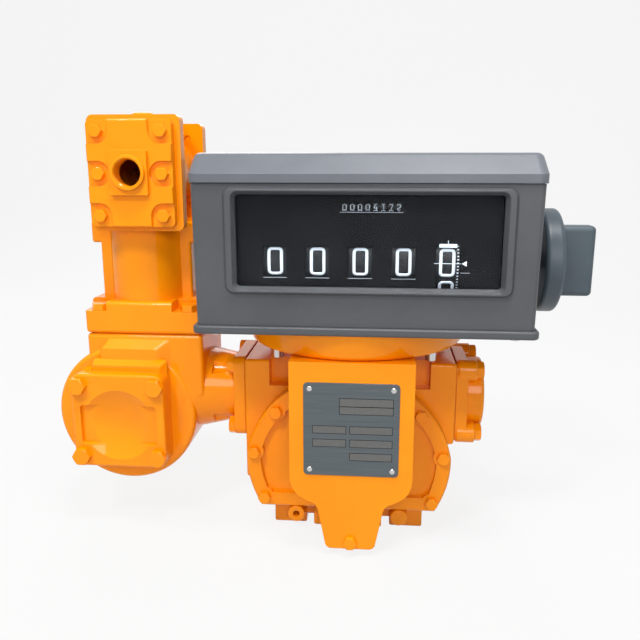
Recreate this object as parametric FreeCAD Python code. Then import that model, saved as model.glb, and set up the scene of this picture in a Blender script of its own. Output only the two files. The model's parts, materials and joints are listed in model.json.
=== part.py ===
import FreeCAD, Part
import math
import os

# Rotary positive-displacement bulk meter with a strainer, an air eliminator and a reset register.
# Millimetres. X runs along the flow, -Y is the front, Z is up and the feet stand on Z = 0.
# X = 0 and Y = 0 are the middle of the meter housing.

V = FreeCAD.Vector
os.makedirs("parts", exist_ok=True)

# running fit and seating clearances
running_clearance = 0.05
thread_clearance = 0.03
bolt_clearance = 0.35
seat_gap = 0.3
gasket_thickness = 0.8
gasket_edge = 3.0
gasket_inset = 0.5

# fasteners
small_bolt_flats = 11.1
small_bolt_head = 5.0
small_bolt_radius = 3.175
small_bolt_grip = 12.0
large_bolt_flats = 15.9
large_bolt_head = 6.6
large_bolt_radius = 4.9
large_bolt_grip = 11.0
spot_face_radius = 9.9
drill_over = 3.0

# meter housing
face_half = 104.0
outline_radius = 100.0
outline_centre_z = 77.5
crown_radius = 102.0
crown_centre_z = 62.0
outline_floor_z = 26.0
housing_half_depth = 48.0
block_half_depth = 44.0
block_top_z = 172.0
left_block_floor_z = 47.0
right_block_floor_z = 89.0
block_inner_x = 50.0
recess_inset = 12.3
casting_round = 3.0
notch_inner_x = 58.0
notch_outer_x = 79.0
notch_floor_z = 146.0
notch_back_y = -30.0
foot_inner_x = 42.0
foot_outer_x = 75.0
foot_half_depth = 46.0
foot_height = 36.0
base_floor_z = 8.0
foot_hole_radius = 5.5
foot_hole_y = 30.0
foot_hole_x = 58.5
boss_x = 51.0
boss_z = 17.3
boss_radius = 8.4
boss_front_y = -62.0
boss_hole_radius = 3.4
boss_hole_depth = 16.0
boss_root = 20.0
foot_round = 2.0
pillar_block_floor = 3.0
pillar_overlap = 5.0
foot_bore_reach = 14.0

# covers
cover_thickness = 14.0
cover_rim = 14.0
cover_recess = 5.0
cover_bevel = 1.6
cover_rib = 6.0
bolt_inset = 7.5
bolt_pad_radius = 9.5
crown_bolt_angles = (42.0, 68.0)
side_bolt_angles = (3.5, -27.0)
floor_bolt_x = 18.0

# measuring rotors: one blocking rotor with two pockets, two displacement rotors with one lobe
rotor_spacing = 54.0
displacement_x = 46.0
displacement_z = 72.5
blocking_radius = 36.0
rotor_gap = 0.3
displacement_radius = 33.0
lobe_half_angle = 30.0
pocket_offset = 44.0
pocket_radius = 26.25
shaft_radius = 8.0
chamber_front_y = -28.0
chamber_back_y = 40.0
front_plate_thickness = 8.0
end_clearance = 0.2
duct_radius = 26.0
duct_inner_x = 52.0
duct_outer_x = 84.0
middle_duct_half = 22.0
middle_duct_floor = 45.0
middle_duct_top = 66.0

# timing gears
displacement_teeth = 18
blocking_teeth = 2 * displacement_teeth
gear_width = 8.5
gear_backlash = 0.25
gear_chamber_gap = 0.8

# bevel drive to the register
bevel_teeth = 16
bevel_pitch_radius = 11.0
bevel_face = 5.5
bevel_addendum_angle = 3.6
bevel_dedendum_angle = 4.6
bevel_sink_angle = 2.0
bevel_tooth_share = 0.42
bevel_root_share = 1.45
bevel_tip_share = 0.62
lower_hub_length = 2.0
upper_hub_length = 6.0
gear_pressure_angle = 20.0
gear_addendum = 0.9
gear_dedendum = 1.2
drive_nose_radius = 4.0
drive_axis_y = -84.0
gland_radius = 14.0
gland_height = 6.0
gland_pad_radius = 19.0
vertical_shaft_radius = 5.0

# pipe flanges on the housing
flange_centre_z = 131.0
flange_half = 41.0
flange_bolt_spacing = 64.0
flange_plate = 11.0
flange_corner = 9.0
outlet_boss_length = 8.5
outlet_boss_radius = 10.5
outlet_hub_length = 17.0
outlet_hub_radius = 36.0
pipe_thread_radius = 28.9
pipe_thread_length = 24.0

# adaptor, apron and nameplate
adaptor_x = 4.7
bowl_centre_y = 3.0
bowl_radius = 112.0
bowl_foot_radius = 106.0
bowl_floor_z = 189.5
bowl_floor = 5.0
bowl_wall = 5.0
neck_half_x = 50.0
neck_screw_x = 40.0
neck_screw_depth = 8.0
bowl_round = 5.0
boss_foot = 8.0
neck_half_y = 38.0
shaft_boss_radius = 11.0
bowl_screw_radius = 95.0
bowl_screw_angle = 40.5
bowl_rear_angle = 19.0
bowl_back_y = 54.0
bowl_boss_radius = 8.0
screw_radius = 2.5
screw_head_radius = 5.2
screw_head_height = 3.6
screw_head_round = 1.2
sealing_head_height = 9.5
sealing_hole_radius = 0.8
bowl_screw_bite = 6.0
tab_screw_bite = 3.5
register_screw_bite = 12.0
apron_front_y = -106.0
apron_thickness = 3.0
apron_half = 56.5
apron_shoulder_z = 62.0
apron_shoulder_radius = 24.0
tongue_half_top = 29.5
tongue_half_bottom = 22.5
tongue_bottom_z = 7.5
tongue_corner = 6.0
apron_return_y = -74.0
apron_tab_x = 38.0
apron_tab_y = -80.0
tab_screw_y = -88.0
tongue_shoulder_drop = 11.0
tongue_flare = 1.5
tongue_round = 10.0
side_lift = 4.0
tongue_bolt_z = 14.5
apron_bolt_length = 16.0
pillar_radius = 8.0
pillar_block_half = 34.0
pillar_block_front_y = -56.0
pillar_block_back_y = -20.0
plate_width = 86.5
plate_height = 88.5
plate_centre_z = 126.3
plate_thickness = 1.0
plate_corner = 4.0
rivet_inset = 5.6
rivet_radius = 2.6
rivet_shank_radius = 1.56
rivet_round = 0.9
rivet_rise = 1.3

# register
register_x = 14.0
register_base_z = 214.5
register_base_thickness = 7.5
register_base_half = 150.0
register_front_y = -110.0
register_back_y = 62.0
case_half_bottom = 146.3
case_half_top = 148.0
case_height = 123.0
case_wall = 4.0
case_front_wall = 5.0
base_overhang = 3.5
base_corner = 6.0
base_upper_round = 1.6
base_lower_round = 2.4
base_screw_inset = 14.0
case_corner = 4.0
case_inner_corner = 1.0
post_radius = 6.5
post_height = 24.0
post_web_half = 3.0
bowl_screw_pocket = 7.4
lid_corner = 8.0
lid_roof_corner = 8.0
lid_round = 7.0
dial_border = 3.0
dial_corner = 3.0
window_corner = 2.0
lid_gap = 0.4
lid_lip = 8.0
lid_height = 25.0
lid_side_slope = 2.5
lid_front_slope = 18.0
lid_overhang = 2.0
lid_wall = 3.0
bezel_x = 3.0
bezel_z = 296.3
bezel_width = 247.0
bezel_height = 92.6
bezel_rise = 3.5
bezel_chamfer = 2.6
bezel_corner = 9.0
opening_width = 225.8
opening_height = 78.7
opening_chamfer = 3.0
opening_corner = 3.0
window_thickness = 2.0
window_margin = 4.0
dial_setback = 5.0
dial_thickness = 1.5

# figure wheels and totaliser
wheel_count = 5
wheel_pitch = 37.2
wheel_row_x = -3.1
wheel_z = 277.8
wheel_radius = 46.0
wheel_width = 21.0
wheel_rim = 3.0
wheel_web = 3.0
wheel_hub_radius = 9.0
wheel_dial_gap = 1.5
wheel_shaft_radius = 4.0
figure_window_width = 20.0
figure_window_height = 27.0
unit_window_height = 42.0
unit_window_drop = 5.0
total_count = 8
total_pitch = 6.6
total_x = 5.9
total_z = 324.8
total_radius = 8.0
total_width = 5.6
total_shaft_radius = 2.0
total_window_height = 6.5
frame_plate = 3.0
frame_half = 104.0
gear_case_floor = 12.0
gear_case_width = 20.0
gear_case_half = 12.0
gear_case_gap = 0.5
gear_case_back = 15.0
gear_case_rise = 14.0
bearing_depth = 10.0
drive_bearing_depth = 5.0
foot_plate_start = 20.0
frame_margin = 3.0
shaft_end = 2.0
lightening_holes = 5
lightening_radius = 8.0
lightening_place = 26.0
wheel_row_margin = 3.0

# reset knob
knob_y = -25.0
knob_z = 271.6
knob_disc_x = 174.5
knob_disc_radius = 48.5
knob_disc_thickness = 17.0
knob_grip_length = 35.0
knob_grip_height = 66.0
knob_grip_thickness = 20.0
knob_shaft_radius = 8.0
knob_collar_radius = 16.0
knob_collar_width = 6.0
knob_collar_gap = 0.6
sleeve_radius = 11.7
sleeve_reach = 3.0
knob_round = 4.0
grip_round = 4.5
grip_overlap = 6.0

# strainer
drum_x = -226.0
drum_z = 112.5
drum_radius = 71.0
drum_half_depth = 45.0
drum_wall = 8.0
port_width = 93.0
port_height = 96.0
port_flange = 11.5
port_corner = 10.0
port_bolt_edge_x = 8.0
port_bolt_edge_z = 11.5
inlet_cover_thickness = 12.0
dish_radius = 36.0
dish_depth = 9.5
neck_drum_radius = 46.0
neck_flange_radius = 34.0
neck_start_x = -168.0
saddle_left_x = -263.0
saddle_right_x = -146.0
saddle_half_depth = 43.0
saddle_floor_z = 130.0
saddle_top_z = 195.0
basket_radius = 40.0
basket_wall = 1.6
basket_slots = 12
basket_slot_width = 12.0
basket_land = 12.0
inlet_boss_length = 9.0
inlet_hub_radius = 34.0
saddle_wall = 9.0
saddle_roof = 15.0
moulding_floor = 148.0
# mouldings on the saddle's front: (middle, width, top, y) at the root and at the face
upper_moulding = ((17.4, 64.0, 191.5, -42.0), (7.1, 57.0, 181.5, -50.0))
lower_moulding = ((8.5, 75.0, 171.5, -49.0), (5.5, 69.0, 166.0, -56.0))
strainer_bore_depth = 40.0
inlet_bore_start = 20.0
inlet_bore_depth = 60.0
neck_bore_start = 20.0
neck_bore_length = 120.0
column_seat_step = 4.0
spot_face_depth = 24.0
port_edge_round = 5.0
saddle_round = 4.0
cover_round = 2.5
gasket_face = 3.0
dish_drop = 4.0
relief_half_z = 20.0
relief_depth = 4.0

# air eliminator
air_x = -207.7
base_flange_height = 32.0
column_half = 46.5
column_front_y = -14.0
column_back_y = 38.0
column_round_radius = 38.0
column_round_y = -1.5
head_left_x = -263.0
head_right_x = -150.0
head_floor_z = 282.5
head_top_z = 403.0
ledge_height = 22.0
ledge_front_y = -14.0
ledge_back_y = 37.0
head_bump_radius = 10.5
head_bump_rise = 6.0
ear_depth = 9.5
ear_inner_x = 33.0
ear_inner_y = 22.0
head_half_depth = 46.0
head_flange = 10.0
head_flange_shift = 2.0
head_flange_edge_x = 4.0
head_flange_edge_z = 4.5
head_flange_corner = 6.0
rear_cover_height = 89.0
air_cover_left_x = -244.0
air_cover_right_x = -163.6
air_cover_floor_z = 302.5
air_cover_top_z = 400.5
air_cover_thickness = 10.0
air_cover_corner = 5.0
air_cover_round = 1.8
base_flange_round = 3.5
casting_overlap = 8.0
air_bolt_inset_x = 10.0
air_bolt_inset_z = 10.5
vent_z = 352.5
vent_pad_half_x = 18.0
vent_pad_half_z = 20.5
vent_pad_rise = 4.0
vent_lip_radius = 16.0
vent_lip_rise = 3.5
vent_radius = 13.2
vent_pad_corner = 1.5
vent_lip_round = 0.8
head_wall = 7.0
column_wall = 8.0
column_bolt_edge_x = 13.5
column_bolt_edge_y = 8.0
land_depth = 3.0
land_reach = 11.5
rear_pad_rise = 3.0
seal_hole_radius = 3.0
seal_hole_inset_x = 9.0
seal_hole_inset_z = 21.0
float_radius = 27.0
float_stem_radius = 6.0
float_stem = 21.0
float_height = 62.0
float_floor_z = 206.0
guide_radius = 3.0
spider_gap = 0.5
spider_half_width = 4.0
spider_thickness = 4.0
float_round = 4.0
column_bore = 30.0


def box(x0, x1, y0, y1, z0, z1):
    return Part.makeBox(x1 - x0, y1 - y0, z1 - z0, V(x0, y0, z0))


def soft_box(x0, x1, y0, y1, z0, z1, radius=casting_round):
    block = box(x0, x1, y0, y1, z0, z1)
    return block.makeFillet(radius, block.Edges)


def cylinder(radius, start, axis, length):
    return Part.makeCylinder(radius, length, V(*start), V(*axis))


def soft_cylinder(radius, start, axis, length, rounding=1.0):
    drum = cylinder(radius, start, axis, length)
    return drum.makeFillet(rounding, [edge for edge in drum.Edges if edge.Closed])


def capped_cylinder(radius, start, axis, length, rounding):
    """A cylinder with only its far end rounded, such as a screw head."""
    drum = cylinder(radius, start, axis, length)
    cap = V(*start) + V(*axis) * length
    far = [edge for edge in drum.Edges if edge.Closed and edge.CenterOfMass.distanceToPoint(cap) < 0.01]
    return drum.makeFillet(rounding, far)


def fuse(pieces):
    whole = pieces[0].multiFuse(pieces[1:])
    return whole.removeSplitter()


def cut(shape, tools):
    return shape.cut(tools)


def export(shape, node):
    shape.exportStep("parts/" + node + ".step")


def group(solids, node):
    export(Part.makeCompound(solids), node)


def rounded_wire(centre_x, centre_z, width, height, radius, y):
    half_x = width / 2 - radius
    half_z = height / 2 - radius
    corners = ((1, 1, 0), (-1, 1, 90), (-1, -1, 180), (1, -1, 270))
    arcs = []
    for side_x, side_z, start in corners:
        middle = V(centre_x + side_x * half_x, y, centre_z + side_z * half_z)
        points = []
        for step in (0, 45, 90):
            angle = math.radians(start + step)
            points.append(middle + V(radius * math.cos(angle), 0, radius * math.sin(angle)))
        arcs.append(points)
    edges = []
    for index, points in enumerate(arcs):
        edges.append(Part.Arc(*points).toShape())
        following = arcs[(index + 1) % len(arcs)]
        edges.append(Part.LineSegment(points[2], following[0]).toShape())
    return Part.Wire(edges)


def rounded_plate(centre_x, centre_z, width, height, radius, y0, y1):
    wire = rounded_wire(centre_x, centre_z, width, height, radius, y0)
    return Part.Face(wire).extrude(V(0, y1 - y0, 0))


def tapered_plate(centre_x, centre_z, first, second, y0, y1):
    """first and second are (width, height, corner radius) at y0 and y1."""
    start = rounded_wire(centre_x, centre_z, *first, y0)
    end = rounded_wire(centre_x, centre_z, *second, y1)
    return Part.makeLoft([start, end], True, True)


def lay_flat(shape):
    """Turn a plate drawn across Y so that it lies across Z, its second width running back."""
    shape.rotate(V(0, 0, 0), V(1, 0, 0), 90)
    return shape


def flat_plate(centre_x, centre_y, width, depth, radius, z0, z1):
    return lay_flat(rounded_plate(centre_x, -centre_y, width, depth, radius, z0, z1))


def side_plate(centre_z, width, radius, x0, x1):
    """A square plate with rounded corners that lies across X."""
    plate = rounded_plate(0, centre_z, width, width, radius, x0, x1)
    plate.rotate(V(0, 0, 0), V(0, 0, 1), -90)
    return plate


def rounded_outline(corners, y):
    """A closed outline in XZ; each corner is (x, z, radius)."""
    edges = []
    runs = []
    count = len(corners)
    for index, (x, z, radius) in enumerate(corners):
        here = V(x, y, z)
        before = (V(corners[index - 1][0], y, corners[index - 1][1]) - here).normalize()
        following = corners[(index + 1) % count]
        after = (V(following[0], y, following[1]) - here).normalize()
        half = before.getAngle(after) / 2
        reach = radius / math.tan(half)
        middle = (before + after).normalize()
        centre = here + middle * (radius / math.sin(half))
        runs.append((here + before * reach, centre - middle * radius, here + after * reach, radius))
    for index, (start, middle, end, radius) in enumerate(runs):
        if radius > 0:
            edges.append(Part.Arc(start, middle, end).toShape())
        edges.append(Part.LineSegment(end, runs[(index + 1) % count][0]).toShape())
    return Part.Wire(edges)


def hex_head(flats, height, point, direction):
    points = []
    for corner in range(7):
        angle = math.radians(60 * corner)
        points.append(V(math.cos(angle), math.sin(angle), 0) * (flats / math.sqrt(3)))
    prism = Part.Face(Part.makePolygon(points)).extrude(V(0, 0, height))
    crown = Part.makeCone(flats * 0.49 + height * 1.73, flats * 0.49, height)
    head = prism.common(crown)
    head.Placement = FreeCAD.Placement(V(*point), FreeCAD.Rotation(V(0, 0, 1), V(*direction)))
    return head


def bolt(point, direction, flats, head, radius, length):
    """A hex bolt whose head sits on point and stands out along direction."""
    back = V(*direction) * -length
    start = V(*point) + back
    shank = Part.makeCylinder(radius, length + head / 2, start, V(*direction))
    return hex_head(flats, head, point, direction).fuse(shank).removeSplitter()


def small_bolt(point, direction, length):
    return bolt(point, direction, small_bolt_flats, small_bolt_head, small_bolt_radius, length)


def large_bolt(point, direction, length):
    return bolt(point, direction, large_bolt_flats, large_bolt_head, large_bolt_radius, length)


def rectangle(spacing_a, spacing_b):
    return [(a * spacing_a / 2, b * spacing_b / 2) for a in (-1, 1) for b in (-1, 1)]


def meter_outline(inset, y0, y1):
    """The flattened round outline that the housing, covers and gaskets share."""
    disc = cylinder(outline_radius - inset, (0, y0, outline_centre_z), (0, 1, 0), y1 - y0)
    crown = cylinder(crown_radius - inset, (0, y0, crown_centre_z), (0, 1, 0), y1 - y0)
    reach = 2 * outline_radius
    slab = box(-reach, reach, y0, y1, outline_floor_z + inset, outline_floor_z + reach)
    return disc.common(crown).common(slab)


def outline_wire(inset, y):
    """The wire of that outline, taken from the end face at y."""
    faces = meter_outline(inset, y, y + 1).Faces
    return next(face.OuterWire for face in faces if face.BoundBox.YMax < y + 0.01)


def bevelled_outline(y_back, y_face, bevel):
    """The outline as a plate whose edge is bevelled at y_face."""
    knee = y_face - math.copysign(bevel, y_face - y_back)
    plate = meter_outline(0, min(y_back, knee), max(y_back, knee))
    edge = Part.makeLoft([outline_wire(0, knee), outline_wire(bevel, y_face)], True, True)
    return fuse([plate, edge])


def cover_bolt_places():
    places = []
    for angle in crown_bolt_angles:
        reach = crown_radius - bolt_inset
        x = reach * math.cos(math.radians(angle))
        places.append((x, crown_centre_z + reach * math.sin(math.radians(angle))))
    for angle in side_bolt_angles:
        reach = outline_radius - bolt_inset
        x = reach * math.cos(math.radians(angle))
        places.append((x, outline_centre_z + reach * math.sin(math.radians(angle))))
    places.append((floor_bolt_x, outline_floor_z + bolt_inset))
    return [(side * x, z) for x, z in places for side in (-1, 1)]


cover_bolts = cover_bolt_places()
blocking_z = displacement_z + math.sqrt(rotor_spacing ** 2 - displacement_x ** 2)
hub_radius = rotor_spacing - blocking_radius - rotor_gap
housing_front = -housing_half_depth
housing_back = housing_half_depth
cover_back_y = housing_front - gasket_thickness
cover_front_y = cover_back_y - cover_thickness
rotor_front_y = chamber_front_y + end_clearance
rotor_back_y = chamber_back_y - end_clearance
gear_front_y = housing_front + gear_chamber_gap
rotor_centres = {"left": -displacement_x, "right": displacement_x}
flange_bolts = rectangle(flange_bolt_spacing, flange_bolt_spacing)


def make_housing():
    body = meter_outline(0, housing_front, housing_back)
    top = soft_box(-face_half, face_half, -block_half_depth, block_half_depth,
                   right_block_floor_z, block_top_z)
    left = soft_box(-face_half, -block_inner_x, -block_half_depth, block_half_depth,
                    left_block_floor_z, block_top_z)
    base = soft_box(-foot_outer_x, foot_outer_x, -block_half_depth, block_half_depth,
                    base_floor_z, left_block_floor_z + 2 * casting_round)
    pieces = [body, top, left, base]
    for side in (-1, 1):
        edges = sorted((side * foot_inner_x, side * foot_outer_x))
        pieces.append(soft_box(*edges, -foot_half_depth, foot_half_depth, 0, foot_height,
                               foot_round))
        pieces.append(soft_cylinder(boss_radius, (side * boss_x, boss_front_y, boss_z), (0, 1, 0),
                                    boss_root - boss_front_y - foot_half_depth))
    pieces.append(soft_box(-pillar_block_half, pillar_block_half, pillar_block_front_y,
                           pillar_block_back_y, pillar_block_floor, outline_floor_z, foot_round))
    pillar_back = pillar_block_front_y + pillar_overlap
    pillar_front = apron_front_y + apron_thickness
    pieces.append(cylinder(pillar_radius, (adaptor_x, pillar_front, tongue_bolt_z), (0, 1, 0),
                           pillar_back - pillar_front))
    shape = fuse(pieces)

    tools = [meter_outline(recess_inset, housing_front - 1, chamber_front_y),
             meter_outline(recess_inset, chamber_back_y, housing_back + 1)]
    length = chamber_back_y - chamber_front_y
    bore = displacement_radius + rotor_gap
    for x in rotor_centres.values():
        tools.append(cylinder(bore, (x, chamber_front_y, displacement_z), (0, 1, 0), length))
    tools.append(cylinder(blocking_radius + rotor_gap, (0, chamber_front_y, blocking_z),
                          (0, 1, 0), length))
    tools.append(box(-middle_duct_half, middle_duct_half, -duct_radius, duct_radius,
                     middle_duct_floor, middle_duct_top))
    for side in (-1, 1):
        low, high = sorted((side * duct_inner_x, side * duct_outer_x))
        tools.append(box(low, high, -duct_radius, duct_radius, displacement_z, flange_centre_z))
        run = face_half + 1 - duct_inner_x
        tools.append(cylinder(duct_radius, (side * duct_inner_x, 0, flange_centre_z),
                              (side, 0, 0), run))
        low, high = sorted((side * notch_inner_x, side * notch_outer_x))
        notch = box(low, high, -outline_radius, notch_back_y, notch_floor_z, block_top_z + 1)
        tools.append(notch)
        for y in (-foot_hole_y, foot_hole_y):
            tools.append(cylinder(foot_hole_radius, (side * foot_hole_x, y, -1), (0, 0, 1),
                                  base_floor_z + foot_bore_reach))
        for y, z in flange_bolts:
            tools.append(cylinder(large_bolt_radius + thread_clearance,
                                  (side * (face_half + 1), y, flange_centre_z + z), (-side, 0, 0),
                                  large_bolt_grip + drill_over))
    tools.append(cylinder(boss_hole_radius, (-boss_x, boss_front_y - 1, boss_z), (0, 1, 0),
                          boss_hole_depth + 1))
    for x, z in cover_bolts:
        for y, way in ((housing_front - 1, 1), (housing_back + 1, -1)):
            tools.append(cylinder(small_bolt_radius + thread_clearance, (x, y, z), (0, way, 0),
                                  small_bolt_grip + drill_over))
    tools.append(cylinder(small_bolt_radius + thread_clearance,
                          (adaptor_x, pillar_front - 1, tongue_bolt_z), (0, 1, 0),
                          apron_bolt_length + 1))
    for x in (-1, 1):
        tools.append(cylinder(screw_radius + thread_clearance,
                              (adaptor_x + x * neck_screw_x, 0,
                               block_top_z - neck_screw_depth - 2), (0, 0, 1),
                              neck_screw_depth + 3))
    export(cut(shape, tools), "meter_housing")


def bolt_holes(y0, y1, places=None):
    radius = small_bolt_radius + bolt_clearance
    return [cylinder(radius, (x, y0, z), (0, 1, 0), y1 - y0) for x, z in (places or cover_bolts)]


def make_covers():
    front = bevelled_outline(cover_back_y, cover_front_y, cover_bevel)
    hollow = meter_outline(cover_rim, cover_front_y - 1, cover_front_y + cover_recess)
    pads = [cylinder(bolt_pad_radius, (x, cover_front_y - 2, z), (0, 1, 0), cover_thickness)
            for x, z in cover_bolts]
    pads.append(cylinder(gland_pad_radius, (0, cover_front_y - 2, blocking_z), (0, 1, 0),
                         cover_thickness))
    front = front.cut(hollow.cut(pads))
    holes = bolt_holes(cover_front_y - 1, cover_back_y + 1)
    holes.append(cylinder(shaft_radius + running_clearance, (0, cover_front_y - 1, blocking_z),
                          (0, 1, 0), cover_thickness + 2))
    export(cut(front, holes), "front_cover")

    back_y = -cover_back_y
    rear = bevelled_outline(back_y, back_y + cover_thickness, cover_bevel)
    hollow = meter_outline(cover_rim, back_y + cover_thickness - cover_recess,
                           back_y + cover_thickness + 1)
    pads = [cylinder(bolt_pad_radius, (x, back_y, z), (0, 1, 0), cover_thickness + 2)
            for x, z in cover_bolts]
    rib = box(-outline_radius, outline_radius, back_y, back_y + cover_thickness + 2,
              outline_centre_z - cover_rib / 2, outline_centre_z + cover_rib / 2)
    pads.append(rib)
    rear = rear.cut(hollow.cut(pads))
    export(cut(rear, bolt_holes(back_y - 1, back_y + cover_thickness + 1)), "rear_cover")

    fasteners = []
    for x, z in cover_bolts:
        fasteners.append(small_bolt((x, cover_front_y, z), (0, -1, 0),
                                    cover_thickness + gasket_thickness + small_bolt_grip))
        fasteners.append(small_bolt((x, -cover_front_y, z), (0, 1, 0),
                                    cover_thickness + gasket_thickness + small_bolt_grip))
    group(fasteners, "cover_bolts")


def make_bearing_plates():
    seat = recess_inset + 0.1
    plates = (("front_bearing_plate", chamber_front_y - front_plate_thickness, chamber_front_y),
              ("rear_bearing_plate", chamber_back_y, housing_back - 0.3))
    for node, y0, y1 in plates:
        plate = meter_outline(seat, y0, y1)
        holes = []
        for x, z in [(0, blocking_z)] + [(x, displacement_z) for x in rotor_centres.values()]:
            holes.append(cylinder(shaft_radius + running_clearance, (x, y0 - 1, z), (0, 1, 0),
                                  y1 - y0 + 2))
        export(cut(plate, holes), node)


def involute(angle):
    return math.tan(angle) - angle


def spur_gear(teeth, x, z, tooth_angle, bore):
    """A spur gear with a tooth centred at tooth_angle, in degrees."""
    module = 2 * rotor_spacing / (displacement_teeth + blocking_teeth)
    pitch = module * teeth / 2
    pressure = math.radians(gear_pressure_angle)
    base = pitch * math.cos(pressure)
    outer = pitch + gear_addendum * module
    root = pitch - gear_dedendum * module
    start = max(base, root + 0.05)
    half_pitch = math.pi / (2 * teeth) - gear_backlash / (2 * pitch)

    def place(radius, angle):
        return V(x + radius * math.cos(angle), gear_front_y, z + radius * math.sin(angle))

    def half_angle(radius):
        ratio = min(1.0, base / radius)
        return half_pitch + involute(pressure) - involute(math.acos(ratio))

    edges = []
    last = None
    for tooth in range(teeth + 1):
        centre = math.radians(tooth_angle) + 2 * math.pi * tooth / teeth
        radii = (start, (start + outer) / 2, outer)
        rising = [place(r, centre - half_angle(r)) for r in radii]
        falling = [place(r, centre + half_angle(r)) for r in reversed(radii)]
        foot_in = place(root, centre - half_angle(start))
        foot_out = place(root, centre + half_angle(start))
        if last is not None:
            edges.append(Part.LineSegment(last, foot_in).toShape())
        last = foot_out
        if tooth == teeth:
            break
        edges.append(Part.LineSegment(foot_in, rising[0]).toShape())
        edges.append(Part.Arc(*rising).toShape())
        edges.append(Part.LineSegment(rising[2], falling[0]).toShape())
        edges.append(Part.Arc(*falling).toShape())
        edges.append(Part.LineSegment(falling[2], foot_out).toShape())
    gear = Part.Face(Part.Wire(edges)).extrude(V(0, gear_width, 0))
    return gear.cut(cylinder(bore, (x, gear_front_y - 1, z), (0, 1, 0), gear_width + 2))


def direction_between(x0, z0, x1, z1):
    return math.degrees(math.atan2(z1 - z0, x1 - x0))


def make_rotors():
    length = rotor_back_y - rotor_front_y
    pocket_angle = direction_between(0, blocking_z, displacement_x, displacement_z)
    rotor = cylinder(blocking_radius, (0, rotor_front_y, blocking_z), (0, 1, 0), length)
    pockets = []
    for turn in (0, 180):
        angle = math.radians(pocket_angle + turn)
        x = pocket_offset * math.cos(angle)
        z = blocking_z + pocket_offset * math.sin(angle)
        pockets.append(cylinder(pocket_radius, (x, rotor_front_y - 1, z), (0, 1, 0), length + 2))
    rotor = rotor.cut(pockets)
    shoulder = cover_front_y - gland_height - 0.3
    shaft = cylinder(shaft_radius, (0, shoulder, blocking_z), (0, 1, 0),
                     housing_back - 1 - shoulder)
    nose_end = drive_axis_y + bevel_pitch_radius - bevel_face
    nose = cylinder(drive_nose_radius, (0, nose_end, blocking_z), (0, 1, 0),
                    shoulder + 1 - nose_end)
    export(fuse([rotor, shaft, nose]), "blocking_rotor")
    export(spur_gear(blocking_teeth, 0, blocking_z, pocket_angle, shaft_radius), "blocking_gear")

    tooth_step = 360 / blocking_teeth
    for side, x in rotor_centres.items():
        outward = direction_between(0, blocking_z, x, displacement_z)
        inward = direction_between(x, displacement_z, 0, blocking_z)
        # the blocking rotor turns this far before its next pocket faces this rotor
        ahead = (outward - pocket_angle) % 180
        lobe_angle = inward + 2 * ahead
        hub = cylinder(hub_radius, (x, rotor_front_y, displacement_z), (0, 1, 0), length)
        sector = cylinder(displacement_radius, (x, rotor_front_y, displacement_z), (0, 1, 0), length)
        reach = 2 * displacement_radius
        corners = [V(x, rotor_front_y - 1, displacement_z)]
        for offset in (-lobe_half_angle, lobe_half_angle):
            angle = math.radians(lobe_angle + offset)
            corners.append(V(x + reach * math.cos(angle), rotor_front_y - 1,
                             displacement_z + reach * math.sin(angle)))
        corners.append(corners[0])
        wedge = Part.Face(Part.makePolygon(corners)).extrude(V(0, length + 2, 0))
        lobe = sector.common(wedge)
        shaft = cylinder(shaft_radius, (x, gear_front_y + 0.2, displacement_z), (0, 1, 0),
                         housing_back - 1 - gear_front_y)
        export(fuse([hub, lobe, shaft]), side + "_rotor")
        # the pinion's gap faces the blocking gear's nearest tooth
        slip = (outward - pocket_angle + tooth_step / 2) % tooth_step - tooth_step / 2
        gap_angle = inward + slip * blocking_teeth / displacement_teeth
        tooth_angle = gap_angle + 180 / displacement_teeth
        export(spur_gear(displacement_teeth, x, displacement_z, tooth_angle, shaft_radius),
               side + "_gear")


def bevel_gear(tooth_angle, bore, hub_length):
    """A mitre gear on the Z axis with its apex at the origin."""
    slant = bevel_pitch_radius / math.sin(math.radians(45))
    addendum = math.radians(bevel_addendum_angle)
    dedendum = math.radians(bevel_dedendum_angle)
    middle = math.radians(45)
    pitch_half = math.pi / bevel_teeth * bevel_tooth_share
    root_half = pitch_half * bevel_root_share
    tip_half = pitch_half * bevel_tip_share
    small = (slant - bevel_face) / slant

    def place(length, cone, angle):
        radial = length * math.sin(cone)
        return V(radial * math.cos(angle), radial * math.sin(angle), length * math.cos(cone))

    root = middle - dedendum
    profile = [V(0, 0, slant * small * math.cos(root)),
               V(slant * small * math.sin(root), 0, slant * small * math.cos(root)),
               V(slant * math.sin(root), 0, slant * math.cos(root)),
               V(slant * math.sin(root), 0, slant * math.cos(root) + hub_length),
               V(0, 0, slant * math.cos(root) + hub_length)]
    profile.append(profile[0])
    body = Part.Face(Part.makePolygon(profile)).revolve(V(0, 0, 0), V(0, 0, 1), 360)
    pieces = [body]
    sunk = root - math.radians(bevel_sink_angle)
    for tooth in range(bevel_teeth):
        centre = math.radians(tooth_angle) + 2 * math.pi * tooth / bevel_teeth
        outline = [(sunk, -root_half), (middle + addendum, -tip_half),
                   (middle + addendum, tip_half), (sunk, root_half)]
        big = [place(slant, cone, centre + half) for cone, half in outline]
        tiny = [point * small for point in big]
        faces = [Part.Face(Part.makePolygon(big + big[:1])),
                 Part.Face(Part.makePolygon(tiny + tiny[:1]))]
        for index in range(4):
            after = (index + 1) % 4
            ring = [big[index], big[after], tiny[after], tiny[index], big[index]]
            faces.append(Part.Face(Part.makePolygon(ring)))
        solid = Part.makeSolid(Part.makeShell(faces))
        pieces.append(solid)
    gear = fuse(pieces)
    if bore > 0:
        gear = gear.cut(Part.makeCylinder(bore, 4 * bevel_pitch_radius))
    return gear


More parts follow.
